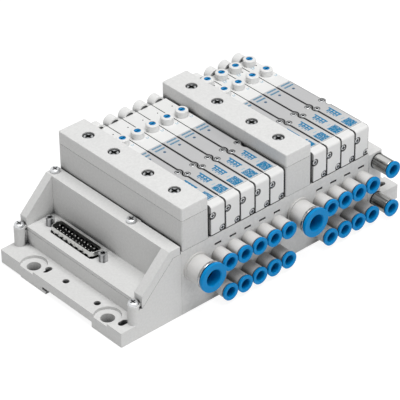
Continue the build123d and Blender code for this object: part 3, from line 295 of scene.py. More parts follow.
    def material(self) -> bpy.types.Material:
        """Builds the material.

        Returns:
            New material named after the finish.
        """
        result = bpy.data.materials.new(self.name)
        result.use_nodes = True
        tree = result.node_tree
        tree.nodes.clear()
        place = self.coordinates(tree, self.grain)
        grain = add(
            tree,
            "ShaderNodeTexNoise",
            None,
            {"Vector": place, "Scale": pattern_scale(self.grain_mm), "Detail": 2.0},
        )
        rough = add(
            tree,
            "ShaderNodeMapRange",
            None,
            {
                "Value": grain.outputs[0],
                "To Min": self.roughness - self.rough_swing,
                "To Max": self.roughness + self.rough_swing,
            },
        )
        shader = add(
            tree,
            "ShaderNodeBsdfPrincipled",
            None,
            {
                # Base colour with painted shade in gaps, hollows and along rims
                "Base Color": self.painted_rim_shade(tree, self.painted_gap_shade(tree, self.base(tree))),
                "Roughness": rough.outputs[0],
                "Metallic": self.metallic,
                "Specular IOR Level": self.specular,
                "Normal": self.relief(tree, grain.outputs[0]),
            },
        )
        add(tree, "ShaderNodeOutputMaterial", None, {"Surface": shader.outputs[0]})
        return result


@dataclass(frozen=True)
class GradedFinish(Finish):
    """A lacquered grey metal top with a painted reflection, which makes its grey change a little along the
    depth of the island.

    Stops are (distance from the port face in mm, colour).
    """

    front_y: float = 0.0
    stops: tuple[tuple[float, str], ...] = ((0.0, "#FFFFFF"), (1.0, "#FFFFFF"))

    def base(self, tree: bpy.types.NodeTree) -> bpy.types.NodeSocket:
        """Adds the painted reflection's greys along the depth of the island.

        Args:
            tree: Material node tree.

        Returns:
            Colour socket before the seams are darkened.
        """
        low, high = self.stops[0][0], self.stops[-1][0]
        along = add(
            tree,
            "ShaderNodeMapRange",
            None,
            {
                "Value": object_axes(tree)["Y"],
                "From Min": self.front_y + low * MM,
                "From Max": self.front_y + high * MM,
            },
        )
        ramp = add(tree, "ShaderNodeValToRGB", None, {0: along.outputs[0]})
        line = ramp.color_ramp.elements
        while len(line) < len(self.stops):
            line.new(0.5)
        for element, (distance, colour) in zip(line, self.stops):
            element.position = (distance - low) / (high - low)
            element.color = linear(colour)
        return ramp.outputs[0]


@dataclass(frozen=True)
class DimpledFinish(Finish):
    """A sheet metal with a row of slanting dimples, whose shade is painted as dashes of the dark tint between
    two heights.

    The heights low_z and high_z are in metres. A dash takes its share of each pitch and leans by slant.
    """

    low_z: float = 0.0
    high_z: float = 0.01
    pitch_mm: float = 4.4
    share: float = 0.55
    slant: float = 0.8

    def base(self, tree: bpy.types.NodeTree) -> bpy.types.NodeSocket:
        """Adds the painted shade of the dimples as dashes along Y, leaning with the height.

        Args:
            tree: Material node tree.

        Returns:
            Colour socket before the seams are darkened.
        """
        axes = object_axes(tree)
        times, less, more = ({"operation": name} for name in ("MULTIPLY", "LESS_THAN", "GREATER_THAN"))
        lean = add(tree, "ShaderNodeMath", times, {0: axes["Z"], 1: self.slant})
        along = add(tree, "ShaderNodeMath", {"operation": "ADD"}, {0: axes["Y"], 1: lean.outputs[0]})
        turns = add(tree, "ShaderNodeMath", times, {0: along.outputs[0], 1: 1 / (self.pitch_mm * MM)})
        phase = add(tree, "ShaderNodeMath", {"operation": "FRACT"}, {0: turns.outputs[0]})
        dash = add(tree, "ShaderNodeMath", less, {0: phase.outputs[0], 1: self.share})
        above = add(tree, "ShaderNodeMath", more, {0: axes["Z"], 1: self.low_z})
        below = add(tree, "ShaderNodeMath", less, {0: axes["Z"], 1: self.high_z})
        band = add(tree, "ShaderNodeMath", times, {0: above.outputs[0], 1: below.outputs[0]})
        both = add(tree, "ShaderNodeMath", times, {0: dash.outputs[0], 1: band.outputs[0]})
        inputs = {0: both.outputs[0], 6: linear(self.colour), 7: linear(self.tint)}
        return add(tree, "ShaderNodeMix", {"data_type": "RGBA"}, inputs).outputs[2]


@dataclass(frozen=True)
class OpenBackedFinish(Finish):
    """A plain plastic whose painted shade in gaps is dark up to back_y, in metres, and pale behind it, where
    the gaps open.
    """

    back_y: float = 0.0
    pale_shade: str = "#A4A5A6"

    def painted_gap_shade(self, tree: bpy.types.NodeTree, colour: bpy.types.NodeSocket) -> bpy.types.NodeSocket:
        """Paints shade into the gaps, less so behind back_y.

        Args:
            tree: Material node tree.
            colour: Colour to darken.

        Returns:
            Darkened colour socket.
        """
        deep = super().painted_gap_shade(tree, colour)
        lighten = {"data_type": "RGBA", "blend_type": "LIGHTEN"}
        pale = add(tree, "ShaderNodeMix", lighten, {0: 1.0, 6: deep, 7: linear(self.pale_shade)})
        depth = object_axes(tree)["Y"]
        behind = add(tree, "ShaderNodeMath", {"operation": "GREATER_THAN"}, {0: depth, 1: self.back_y})
        inputs = {0: behind.outputs[0], 6: deep, 7: pale.outputs[2]}
        return add(tree, "ShaderNodeMix", {"data_type": "RGBA"}, inputs).outputs[2]


@dataclass(frozen=True)
class FinishBook:
    """The finishes of the island, each named for what the real surface is."""

    # Moulded in a spark-eroded tool: matt, with a fine even grain and faint clouds
    moulded_nylon: Finish = Finish(
        "glass_filled_nylon_light_grey", "#E2E2E1", 0.6, tint="#D5D5D4", tint_mm=1.4, tint_spread=0.3,
        grain_mm=0.6, grain_depth_mm=0.06, shade_colour="#26282A", shade_reach_mm=7.0, shelter=(0.26, 0.5),
    )
    # The same plastic, painted a little darker to stand for the shade on the blocks
    block_nylon: Finish = Finish(
        "glass_filled_nylon_block_grey", "#D8D8D7", 0.6, tint="#CBCBCA", tint_mm=1.4, tint_spread=0.3,
        grain_mm=0.6, grain_depth_mm=0.06, shade_colour="#26282A", shade_reach_mm=7.0, shelter=(0.26, 0.5),
    )
    # Moulded thin walls with the same grain, a little flatter, and painted a little darker for the shade low
    # on the island
    housing_nylon: Finish = Finish(
        "glass_filled_nylon_housing_grey", "#DEDEDD", 0.6, tint="#D3D3D2", tint_mm=1.4, tint_spread=0.3,
        grain_mm=0.6, grain_depth_mm=0.05, shade_colour="#26282A", shade_reach_mm=8.0, shelter=(0.26, 0.5),
    )
    # Baked powder on a casting: matt and slightly lumpy, hiding the metal
    powder_coat: Finish = Finish(
        "powder_coat_on_cast_aluminium", "#DDDDDC", 0.58, tint="#CECECD", tint_mm=1.6, tint_spread=0.3,
        grain_mm=0.7, grain_depth_mm=0.09, shade_colour="#26282A", shade_reach_mm=7.0, shelter=(0.26, 0.5),
    )
    # Moulded in a finer tool: whiter and smoother, with a soft sheen
    white_abs: Finish = Finish(
        "moulded_abs_white", "#E6E6E5", 0.45, tint="#E1E1E0", grain_mm=0.4, grain_depth_mm=0.02,
        shade_colour="#161718", shade_reach_mm=4.0, shelter=(0.28, 0.56),
    )
    # Smooth moulded sleeves with far-reaching painted shade where they shelter each other, darkest on the
    # lower row
    port_nylon: Finish = Finish(
        "moulded_nylon_port_warm_grey", "#D7D6D5", 0.36, tint="#CECDCB", grain_mm=0.4, grain_depth_mm=0.015,
        shade_colour="#7D7B78", shade_reach_mm=18.0, shelter=(0.18, 0.56),
    )
    # Coloured through, smooth and slippery, with soft highlights and painted shade darkening the bore
    blue_acetal: Finish = Finish(
        "glossy_blue_acetal", "#008BCE", 0.36, specular=0.12, tint="#0084C5", grain_mm=0.6,
        grain_depth_mm=0.006, shade_colour="#043566", shade_reach_mm=6.0, shelter=(0.16, 0.6), edge_mm=0.3,
    )
    # The same plastic sunk in a collar, with painted shade darkening its slot
    deep_blue_acetal: Finish = Finish(
        "deep_blue_acetal_override", "#0A86C6", 0.36, specular=0.12, tint="#0880BE", grain_mm=0.5,
        grain_depth_mm=0.006, shade_colour="#021C2E", shade_reach_mm=1.0, shelter=(0.42, 0.8), edge_mm=0.15,
    )
    # Bright zinc: cool silver with blurred reflections and painted shade blackening its recesses
    zinc_steel: Finish = Finish(
        "zinc_plated_steel", "#E0E1E2", 0.36, 1.0, tint="#C6C8CA", grain_mm=0.3, grain_depth_mm=0.004,
        shade_colour="#08090A", shade_reach_mm=2.4, shelter=(0.3, 0.74), edge_mm=0.12,
    )
    # The same plating down a hole, painted duller for the shade there and with painted shade round its rim
    sunk_screw: Finish = Finish(
        "zinc_plated_sunk_screw", "#C4C5C6", 0.36, 1.0, tint="#AAACAE", grain_mm=0.3, grain_depth_mm=0.004,
        shade_colour="#161718", shade_reach_mm=2.4, shelter=(0.1, 0.66), edge_mm=0.12, rim_mm=0.85,
    )
    # Nickel on a turned nut, with painted reflections as light and dark streaks that run up its flats
    turned_steel: Finish = Finish(
        "nickel_plated_turned_nut", "#F2F3F4", 0.28, 1.0, tint="#68696B", tint_mm=1.5, tint_spread=0.16,
        tint_grain=Grain.UPRIGHT, grain_mm=0.3, grain_depth_mm=0.004, shade_colour="#08090A", shade_reach_mm=2.0,
        shelter=(0.25, 0.7), edge_mm=0.15,
    )
    # Nickel on drawn brass: polished, with painted reflections as long dark streaks along the tube
    nickel_brass: Finish = Finish(
        "nickel_plated_drawn_brass", "#C9C9C7", 0.24, 1.0, tint="#343432", tint_mm=1.6, tint_spread=0.14,
        tint_grain=Grain.FRONT_TO_BACK, grain=Grain.AROUND_PORTS, grain_mm=0.25, grain_depth_mm=0.006,
        shade_colour="#101010", shade_reach_mm=2.0, shelter=(0.2, 0.55),
    )
    # Polished chrome: the sharpest reflections on the island
    chrome_rim: Finish = Finish(
        "polished_chrome_rim", "#DCDDDE", 0.14, 1.0, tint="#8E9091", tint_mm=3.0, tint_spread=0.2,
        grain_mm=0.4, grain_depth_mm=0.002, shade_colour="#1A1B1C", shade_reach_mm=0.7,
    )
    # Glass-filled and black: dull, almost without highlights
    black_insulator: Finish = Finish(
        "black_glass_filled_insulator", "#08080A", 0.6, specular=0.12, tint="#0D0D0E", grain_mm=0.3,
        grain_depth_mm=0.02, shade_colour="#050505",
    )
    # Cut from sheet: black and quite matt
    black_rubber: Finish = Finish(
        "black_nitrile_rubber", "#101011", 0.7, tint="#17181A", grain_mm=0.35, grain_depth_mm=0.03,
        shade_colour="#040404",
    )
    # Tin plating: a soft grey shine, with painted shade between the pins
    tinned_pin: Finish = Finish(
        "tin_plated_brass_pins", "#ACACAA", 0.3, 1.0, tint="#9A9996", grain_mm=0.2, grain_depth_mm=0.002,
        shade_colour="#2A2824", shade_reach_mm=0.4, edge_mm=0.05,
    )
    # Lacquer over copper and glass cloth: green with a slight gloss
    circuit_green: Finish = Finish(
        "solder_resist_green", "#1B5B34", 0.35, tint="#174E2D", grain_mm=0.8, grain_depth_mm=0.01,
        shade_colour="#06140B",
    )
    # Lacquered wire in close turns: brown copper with a fine rough grain
    copper_wire: Finish = Finish(
        "enamelled_copper_winding", "#9A5A32", 0.35, 1.0, tint="#7F4526", grain_mm=0.3, grain_depth_mm=0.03,
        shade_colour="#1A0E07",
    )

    def lacquered_lid(self, front_y: float) -> Finish:
        """Gives the brushed lid finish, whose grey follows the depth from the port face as a painted
        reflection, with painted shade along its rims.

        Args:
            front_y: Y of the port face in metres.

        Returns:
            The lid's finish.
        """
        # Greys of the painted reflection by depth behind the port face
        stops = (
            (5.6, "#CFCFCF"),
            (16.0, "#C7C7C7"),
            (30.0, "#BCBCBC"),
            (48.0, "#BABABB"),
            (60.0, "#BDBDBE"),
            (66.0, "#C4C4C5"),
        )
        return GradedFinish(
            "brushed_lacquered_aluminium_lid", "#D0D1D2", 0.38, 0.15, grain=Grain.FRONT_TO_BACK,
            grain_mm=0.35, grain_depth_mm=0.008, rough_swing=0.1, shade_colour="#050506", shade_reach_mm=4.0,
            shelter=(0.32, 0.6), edge_mm=0.15, rim_mm=0.85,
            rim_span=(front_y + 6.4 * MM, front_y + 65.2 * MM), front_y=front_y, stops=stops,
        )

    def pilot_head(self, back_y: float) -> Finish:
        """Gives the white pilot heads' finish, whose painted shade in gaps is pale behind back_y."""
        return OpenBackedFinish(
            "moulded_abs_pilot_head", "#E8E8E7", 0.45, tint="#E3E3E2", grain_mm=0.4, grain_depth_mm=0.015,
            shade_colour="#101112", shade_reach_mm=4.0, shelter=(0.28, 0.54), back_y=back_y,
        )

    def front_cap(self, front_y: float) -> Finish:
        """Gives the white front caps' finish, with painted shade along the rims except where a cap meets its
        lid.
        """
        return replace(self.white_abs, rim_mm=0.6, rim_span=(front_y - 5 * MM, front_y + 4.4 * MM))

    def dimpled_shell(self, low_z: float, high_z: float) -> Finish:
        """Gives the shell's tinned sheet steel, whose dimples are painted as slanting dashes of shade on its
        sides.
        """
        return DimpledFinish(
            "tinned_sheet_steel", "#D8D8D6", 0.3, 1.0, tint="#1C1C1C", grain_mm=0.35, grain_depth_mm=0.01,
            shade_colour="#0A0A0A", shade_reach_mm=1.2, shelter=(0.2, 0.6), edge_mm=0.15, low_z=low_z, high_z=high_z,
        )


class Ink(Enum):
    """Printing colours on the valves."""

    BLUE = "#1F7AA6"
    STEEL = "#4D86A6"
    PALE = "#93BBD0"
    GREY = "#3F5F7A"


def ink_material(ink: Ink) -> bpy.types.Material:
    """Builds a pad-printed ink, slightly uneven as such prints are.

    Args:
        ink: Colour of the print.

    Returns:
        Material of that ink.
    """
    finish = Finish(
        f"pad_print_{ink.name.lower()}", ink.value, 0.5, specular=0.2, tint=ink.value, grain_mm=0.25,
        grain_depth_mm=0.002, shade_colour=ink.value, edge_mm=0.01,
    )
    return finish.material()


def give(nodes: dict[str, bpy.types.Object], names: Iterable[str], finish: bpy.types.Material) -> int:
    """Puts a material on every slot of the named CAD nodes.

    Args:
        nodes: CAD nodes by name.
        names: Nodes to dress.
        finish: Material to use.

    Returns:
        Number of nodes dressed.
    """
    count = 0
    for name in names:
        node = nodes[name]
        if not node.material_slots:
            node.data.materials.append(finish)
        for slot in node.material_slots:
            slot.material = finish
        count += 1
    return count


def new_piece(name: str, mesh: bpy.types.Mesh) -> bpy.types.Object:
    """Links a new object at the origin.

    Args:
        name: Name of the object.
        mesh: Its mesh, with its place in it.

    Returns:
        The new object.
    """
    piece = bpy.data.objects.new(name, mesh)
    bpy.context.scene.collection.objects.link(piece)
    return piece


@dataclass
class PrintedGlyph:
    """A flat printed shape made of straight strokes, each a thin closed plate.

    Strokes are (x1, y1, x2, y2, width) in millimetres about the print's own centre. Each lies a little above
    the one before, so that strokes that cross share no face. A plate stands thickness_mm above the surface
    and sinks sunk_mm into it.
    """

    name: str
    strokes: Sequence[tuple[float, float, float, float, float]]
    thickness_mm: float = 0.03
    sunk_mm: float = 0.015
    lift_mm: float = 0.001

    def mesh(self) -> bpy.types.Mesh:
        """Builds the strokes as closed plates.

        Returns:
            Mesh in metres, lying on z = 0.
        """
        shape = bmesh.new()
        for count, (x1, y1, x2, y2, width) in enumerate(self.strokes):
            rise = Vector((0, 0, count * self.lift_mm))
            start, end = Vector((x1, y1, 0)) + rise, Vector((x2, y2, 0)) + rise
            along = (end - start).normalized()
            side = Vector((-along.y, along.x, 0)) * width / 2
            foot = [start - side, end - side, end + side, start + side]
            low = [shape.verts.new(p * MM - Vector((0, 0, self.sunk_mm * MM))) for p in foot]
            high = [shape.verts.new(p * MM + Vector((0, 0, self.thickness_mm * MM))) for p in foot]
            shape.faces.new(low[::-1])
            shape.faces.new(high)
            for i in range(4):
                j = (i + 1) % 4
                shape.faces.new((low[i], low[j], high[j], high[i]))
        bmesh.ops.recalc_face_normals(shape, faces=shape.faces)
        mesh = bpy.data.meshes.new(self.name)
        shape.to_mesh(mesh)
        shape.free()
        return mesh


def group_tree(name: str, sockets: Sequence[tuple[str, str, object]]) -> bpy.types.NodeTree:
    """Makes an empty geometry tree with named inputs.

    Args:
        name: Name of the tree.
        sockets: Input name, socket type and default value.

    Returns:
        The tree, with a geometry input and output in place.
    """
    tree = bpy.data.node_groups.new(name, "GeometryNodeTree")
    tree.interface.new_socket("Geometry", in_out="INPUT", socket_type="NodeSocketGeometry")
    for label, kind, value in sockets:
        socket = tree.interface.new_socket(label, in_out="INPUT", socket_type=kind)
        if value is not None:
            socket.default_value = value
    tree.interface.new_socket("Geometry", in_out="OUTPUT", socket_type="NodeSocketGeometry")
    return tree


def repeat_tree() -> bpy.types.NodeTree:
    """Builds the tree that repeats one printed glyph on every anchor point.

    Returns:
        Geometry tree with the inputs Glyph, Size and Ink.
    """
    tree = group_tree(
        "repeat_print_on_valves",
        [
            ("Glyph", "NodeSocketObject", None),
            ("Size", "NodeSocketFloat", 1.0),
            ("Ink", "NodeSocketMaterial", None),
        ],
    )
    given = add(tree, "NodeGroupInput")
    glyph = add(tree, "GeometryNodeObjectInfo", None, {"Object": given.outputs["Glyph"]})
    placed = add(
        tree,
        "GeometryNodeInstanceOnPoints",
        None,
        {
            "Points": given.outputs["Geometry"],
            "Instance": glyph.outputs["Geometry"],
            "Scale": given.outputs["Size"],
        },
    )
    real = add(tree, "GeometryNodeRealizeInstances", None, {0: placed.outputs[0]})
    inked = add(
        tree,
        "GeometryNodeSetMaterial",
        None,
        {"Geometry": real.outputs[0], "Material": given.outputs["Ink"]},
    )
    add(tree, "NodeGroupOutput", None, {0: inked.outputs[0]})
    return tree


def code_field_tree() -> bpy.types.NodeTree:
    """Builds the tree that prints a field of small squares, some of them missing, on every anchor point.

    Returns:
        Geometry tree with the inputs Columns, Rows, Cell, Cover, Fill, Seed, Thickness and Ink.
    """
    tree = group_tree(
        "printed_code_field",
        [
            ("Columns", "NodeSocketInt", 10),
            ("Rows", "NodeSocketInt", 14),
            ("Cell", "NodeSocketFloat", 0.0005),
            ("Cover", "NodeSocketFloat", 0.97),
            ("Fill", "NodeSocketFloat", 0.6),
            ("Seed", "NodeSocketInt", 7),
            ("Thickness", "NodeSocketFloat", 0.00003),
            ("Ink", "NodeSocketMaterial", None),
        ],
    )
    given = add(tree, "NodeGroupInput")
    spans = []
    for count in ("Columns", "Rows"):
        steps = add(tree, "ShaderNodeMath", {"operation": "SUBTRACT"}, {0: given.outputs[count], 1: 1.0})
        span = add(
            tree, "ShaderNodeMath", {"operation": "MULTIPLY"}, {0: steps.outputs[0], 1: given.outputs["Cell"]}
        )
        spans.append(span.outputs[0])
    grid = add(
        tree,
        "GeometryNodeMeshGrid",
        None,
        {
            "Size X": spans[0],
            "Size Y": spans[1],
            "Vertices X": given.outputs["Columns"],
            "Vertices Y": given.outputs["Rows"],
        },
    )
    fields = add(
        tree,
        "GeometryNodeInstanceOnPoints",
        None,
        {"Points": given.outputs["Geometry"], "Instance": grid.outputs["Mesh"]},
    )
    cells = add(tree, "GeometryNodeRealizeInstances", None, {0: fields.outputs[0]})
    chosen = add(
        tree,
        "FunctionNodeRandomValue",
        {"data_type": "BOOLEAN"},
        {"Probability": given.outputs["Fill"], "Seed": given.outputs["Seed"]},
    )
    side = add(
        tree,
        "ShaderNodeMath",
        {"operation": "MULTIPLY"},
        {0: given.outputs["Cell"], 1: given.outputs["Cover"]},
    )
    size = add(
        tree,
        "ShaderNodeCombineXYZ",
        None,
        {0: side.outputs[0], 1: side.outputs[0], 2: given.outputs["Thickness"]},
    )
    square = add(tree, "GeometryNodeMeshCube", None, {"Size": size.outputs[0]})
    squares = add(
        tree,
        "GeometryNodeInstanceOnPoints",
        None,
        {
            "Points": cells.outputs[0],
            "Selection": chosen.outputs[BOOLEAN_OUTPUT],
            "Instance": square.outputs["Mesh"],
        },
    )
    real = add(tree, "GeometryNodeRealizeInstances", None, {0: squares.outputs[0]})
    inked = add(
        tree,
        "GeometryNodeSetMaterial",
        None,
        {"Geometry": real.outputs[0], "Material": given.outputs["Ink"]},
    )
    add(tree, "NodeGroupOutput", None, {0: inked.outputs[0]})
    return tree


def grow(
    name: str,
    anchors: Sequence[Vector],
    tree: bpy.types.NodeTree,
    values: dict[str, object],
    finish: bpy.types.Material,
) -> bpy.types.Object:
    """Runs a geometry tree over anchor points and keeps the result as a plain mesh.

    Args:
        name: Name of the new piece.
        anchors: Points in the row frame, in metres.
        tree: Geometry tree to run.
        values: Input name to value.
        finish: Material of the result.

    Returns:
        The finished piece at the origin.
    """
    points = bpy.data.meshes.new(name)
    points.from_pydata([tuple(a) for a in anchors], [], [])
    piece = new_piece(name, points)
    modifier = piece.modifiers.new("repeat", "NODES")
    modifier.node_group = tree
    for item in tree.interface.items_tree:
        if item.item_type == "SOCKET" and item.in_out == "INPUT" and item.name in values:
            modifier[item.identifier] = values[item.name]
    shown = bpy.context.evaluated_depsgraph_get()
    mesh = bpy.data.meshes.new_from_object(piece.evaluated_get(shown))
    piece.modifiers.remove(modifier)
    piece.data = mesh
    if not mesh.materials:
        mesh.materials.append(finish)
    return piece


@dataclass
class Places:
    """Where things lie, read from the CAD nodes, in metres."""

    front_y: float = 0.0
    lid_z: float = 0.0
    valve_x: list[float] = field(default_factory=list)
    button_xy: list[tuple[float, float]] = field(default_factory=list)

    @classmethod
    def read(cls, nodes: dict[str, bpy.types.Object]) -> "Places":
        """Reads the places from the nodes' boxes.

        Args:
            nodes: CAD nodes by name.

        Returns:
            The places found.
        """
        found = cls()
        found.front_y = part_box("manifold_base")[0].y
        found.lid_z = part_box("valve_bodies")[1].z
        rings = sorted(name for name in nodes if name.startswith("upper_release_ring_"))
        for name in rings:
            low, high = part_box(name)
            found.valve_x.append((low.x + high.x) / 2)
        for name in sorted(name for name in nodes if name.startswith("override_button_")):
            low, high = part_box(name)
            found.button_xy.append(((low.x + high.x) / 2, (low.y + high.y) / 2))
        return found

    def on_lid(self, x: float, depth_mm: float, shift_mm: float = 0.0) -> Vector:
        """Gives a point on a valve's top face, so far behind the port face and beside the valve's centre."""
        return Vector((x + shift_mm * MM, self.front_y + depth_mm * MM, self.lid_z))


@dataclass
class Manifold:
    """The manifold base, its end plate and the port bodies with their release rings."""

    book: FinishBook

    def dress(self, nodes: dict[str, bpy.types.Object]) -> int:
        """Dresses the manifold's nodes.

        Args:
            nodes: CAD nodes by name.

        Returns:
            Number of nodes dressed.
        """
        rings = [name for name in nodes if "release_ring" in name]
        count = give(nodes, ["manifold_base", "right_end_plate"], self.book.powder_coat.material())
        count += give(nodes, ["work_port_bodies", "large_port_bodies"], self.book.port_nylon.material())
        count += give(nodes, ["large_port_rims"], self.book.chrome_rim.material())
        count += give(nodes, ["pilot_port_bodies"], self.book.nickel_brass.material())
        count += give(nodes, ["port_collets"], self.book.zinc_steel.material())
        count += give(nodes, rings, self.book.blue_acetal.material())
        return count


@dataclass
class ConnectorEnd:
    """The connector housing with its cover, screws and pin connector.

    The shell's dimples lie between two shares of its height, counted from the top.
    """

    book: FinishBook
    dimples_low: float = 0.8
    dimples_high: float = 0.36

    def dress(self, nodes: dict[str, bpy.types.Object]) -> int:
        """Dresses the connector end's nodes.

        Args:
            nodes: CAD nodes by name.

        Returns:
            Number of nodes dressed.
        """
        low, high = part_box("connector_shell")
        height = high.z - low.z
        shell = self.book.dimpled_shell(
            high.z - self.dimples_low * height, high.z - self.dimples_high * height
        )
        count = give(nodes, ["connector_housing", "connector_cover"], self.book.housing_nylon.material())
        count += give(nodes, ["cover_screws"], self.book.zinc_steel.material())
        count += give(nodes, ["connector_jackscrews"], self.book.turned_steel.material())
        count += give(nodes, ["connector_shell"], shell.material())
        count += give(nodes, ["connector_insulator"], self.book.black_insulator.material())
        count += give(nodes, ["connector_pins"], self.book.tinned_pin.material())
        count += give(nodes, ["circuit_boards"], self.book.circuit_green.material())
        return count


@dataclass
class SupplyColumns:
    """The two supply blocks with their caps and screws."""

    book: FinishBook

    def dress(self, nodes: dict[str, bpy.types.Object]) -> int:
        """Dresses the supply columns' nodes.

        Args:
            nodes: CAD nodes by name.

        Returns:
            Number of nodes dressed.
        """
        count = give(nodes, ["supply_blocks"], self.book.block_nylon.material())
        count += give(nodes, ["supply_caps"], self.book.moulded_nylon.material())
        count += give(nodes, ["supply_cap_screws"], self.book.sunk_screw.material())
        return count


@dataclass
class ValvePack:
    """The valves, their overrides and the prints on their lids.

    Each centre is (distance from the valve's middle, depth behind the port face) in millimetres. A code
    field's squares cover a share of their cell, and fill a share of the field.
    """

    book: FinishBook
    places: Places
    body: str = "island"
    # Depth behind the port face from which the painted shade between pilot heads turns pale
    pale_shade_behind_mm: float = 95.2
    code_columns: int = 20
    code_rows: int = 22
    code_cell_mm: float = 0.335
    code_cover: float = 0.97
    code_thickness_mm: float = 0.05
    code_fill: float = 0.86
    code_seed: int = 11
    code_centre: tuple[float, float] = (-0.45, 10.0)
    row_centre: tuple[float, float] = (-0.25, 15.6)
    symbol_centre: tuple[float, float] = (-0.65, 23.9)
    bar_centre: tuple[float, float] = (0.5, 62.95)
    dot_centre: tuple[float, float] = (0.9, 57.9)
    head_mark_centre: tuple[float, float] = (3.5, 75.7)
    second_mark_centre: tuple[float, float] = (-1.3, 90.4)
    second_mark_size: float = 1.3
    second_button_behind_mm: float = 90.0

    def dress(self, nodes: dict[str, bpy.types.Object]) -> int:
        """Dresses the valves' nodes.

        Args:
            nodes: CAD nodes by name.

        Returns:
            Number of nodes dressed.
        """
        buttons = [name for name in nodes if name.startswith("override_button_")]
        count = give(nodes, ["valve_bodies"], self.book.lacquered_lid(self.places.front_y).material())
        count += give(nodes, ["valve_front_caps"], self.book.front_cap(self.places.front_y).material())
        heads = self.book.pilot_head(self.places.front_y + self.pale_shade_behind_mm * MM)
        count += give(nodes, ["pilot_heads"], heads.material())
        # Valve screws: brighter plating, with thinner painted shade round the rim
        screws = replace(self.book.sunk_screw, colour="#DADBDC", shelter=(0.3, 0.74), rim_mm=0.3)
        count += give(nodes, ["valve_screws"], screws.material())
        count += give(nodes, ["spools"], self.book.zinc_steel.material())
        count += give(nodes, ["gaskets"], self.book.black_rubber.material())
        count += give(nodes, ["pilot_coils"], self.book.copper_wire.material())
        count += give(nodes, buttons, self.book.deep_blue_acetal.material())
        return count

    def symbol(self) -> PrintedGlyph:
        """Draws a plain switching symbol: two long lines, rungs across them and short leads.

        Returns:
            The symbol's glyph.
        """
        line, far, right = 0.45, -1.35, 2.3
        strokes = [(right, -5.2, right, 5.2, 1.05), (line, -4.4, line, 3.5, 0.7)]
        strokes += [(far, y, right, y, 0.95) for y in (-4.2, -1.7, 0.8, 3.3)]
        strokes += [(-2.4, y, line, y, 0.45) for y in (-2.95, -0.45, 2.05)]
        return PrintedGlyph("switching_symbol", strokes)

    def block_rows(
        self, rows: Sequence[tuple[float, float, float]], pitch: float, width: float
    ) -> list[tuple[float, float, float, float, float]]:
        """Draws rows of short upright blocks, as a generic stand-in for small print.

        Args:
            rows: Depth, half length and block height of each row in millimetres.
            pitch: Distance between blocks in millimetres.
            width: Width of a block in millimetres.

        Returns:
            Strokes about the print's centre, of which every third is a little shorter.
        """
        strokes = []
        for depth, half, height in rows:
            for i in range(round(2 * half / pitch)):
                x = -half + (i + 0.5) * pitch
                low = depth - height / 2 * (0.8 if i % 3 == 1 else 1.0)
                strokes.append((x, low, x, depth + height / 2, width))
        return strokes

    def round_dot(self, radius: float) -> PrintedGlyph:
        """Draws an eight-sided dot of four strokes.

        Args:
            radius: Distance from the centre to a side in millimetres.

        Returns:
            The dot's glyph.
        """
        across = 2 * radius * math.tan(math.pi / 8)
        turns = [(math.cos(k * math.pi / 4) * radius, math.sin(k * math.pi / 4) * radius) for k in range(4)]
        return PrintedGlyph("batch_dot", [(-x, -y, x, y, across) for x, y in turns])

    def print_glyph(
        self,
        name: str,
        glyph: PrintedGlyph,
        anchors: Sequence[Vector],
        tree: bpy.types.NodeTree,
        ink: bpy.types.Material,
        size: float = 1.0,
    ) -> bpy.types.Object:
        """Prints a glyph on every anchor point.

        Args:
            name: Name of the new piece.
            glyph: Shape to print.
            anchors: Points in the row frame, in metres.
            tree: Geometry tree that repeats a print.
            ink: Material of the print.
            size: Factor on the glyph's own size.

        Returns:
            The printed piece.
        """
        source = new_piece(glyph.name, glyph.mesh())
        piece = grow(name, anchors, tree, {"Glyph": source, "Size": size, "Ink": ink}, ink)
        bpy.data.objects.remove(source)
        return piece

    def on_lids(self, valve_x: Iterable[float], centre: tuple[float, float]) -> list[Vector]:
        """Gives the same point on each of the given valves."""
        shift, depth = centre
        return [self.places.on_lid(x, depth, shift) for x in valve_x]

    def prints(self) -> list[bpy.types.Object]:
        """Makes the prints on every valve.

        Returns:
            The printed pieces.
        """
        blue, steel, pale, grey = (ink_material(ink) for ink in (Ink.BLUE, Ink.STEEL, Ink.PALE, Ink.GREY))
        bars = PrintedGlyph("stock_bars", self.block_rows([(1.45, 3.5, 1.3), (-1.45, 3.5, 1.3)], 0.64, 0.5))
        small_row = PrintedGlyph("small_row", self.block_rows([(0.0, 1.3, 0.7)], 0.52, 0.38))
        mark = PrintedGlyph("port_mark", [(-0.7, -0.9, -0.7, 0.9, 0.35), (0.0, -0.8, 0.9, 0.8, 0.35)])
        jobs = [
            ("lid_symbols", self.symbol(), self.symbol_centre, blue),
            ("lid_bars", bars, self.bar_centre, steel),
            ("lid_small_rows", small_row, self.row_centre, pale),
            ("lid_dots", self.round_dot(0.85), self.dot_centre, grey),
            ("head_marks", mark, self.head_mark_centre, pale),
        ]
        tree = repeat_tree()
        all_x = self.places.valve_x
        made = [
            self.print_glyph(name, glyph, self.on_lids(all_x, centre), tree, ink)
            for name, glyph, centre, ink in jobs
        ]
        limit = self.places.front_y + self.second_button_behind_mm * MM
        anchors = self.on_lids((x for x, y in self.places.button_xy if y > limit), self.second_mark_centre)
        made.append(self.print_glyph("second_head_marks", mark, anchors, tree, pale, self.second_mark_size))
        values = {
            "Columns": self.code_columns,
            "Rows": self.code_rows,
            "Cell": self.code_cell_mm * MM,
            "Cover": self.code_cover,
            "Fill": self.code_fill,
            "Seed": self.code_seed,
            "Thickness": self.code_thickness_mm * MM,
            "Ink": blue,
        }
        anchors = self.on_lids(all_x, self.code_centre)
        made.append(grow("lid_code_fields", anchors, code_field_tree(), values, blue))
        for piece in made:
            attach(piece, self.body)
        return made


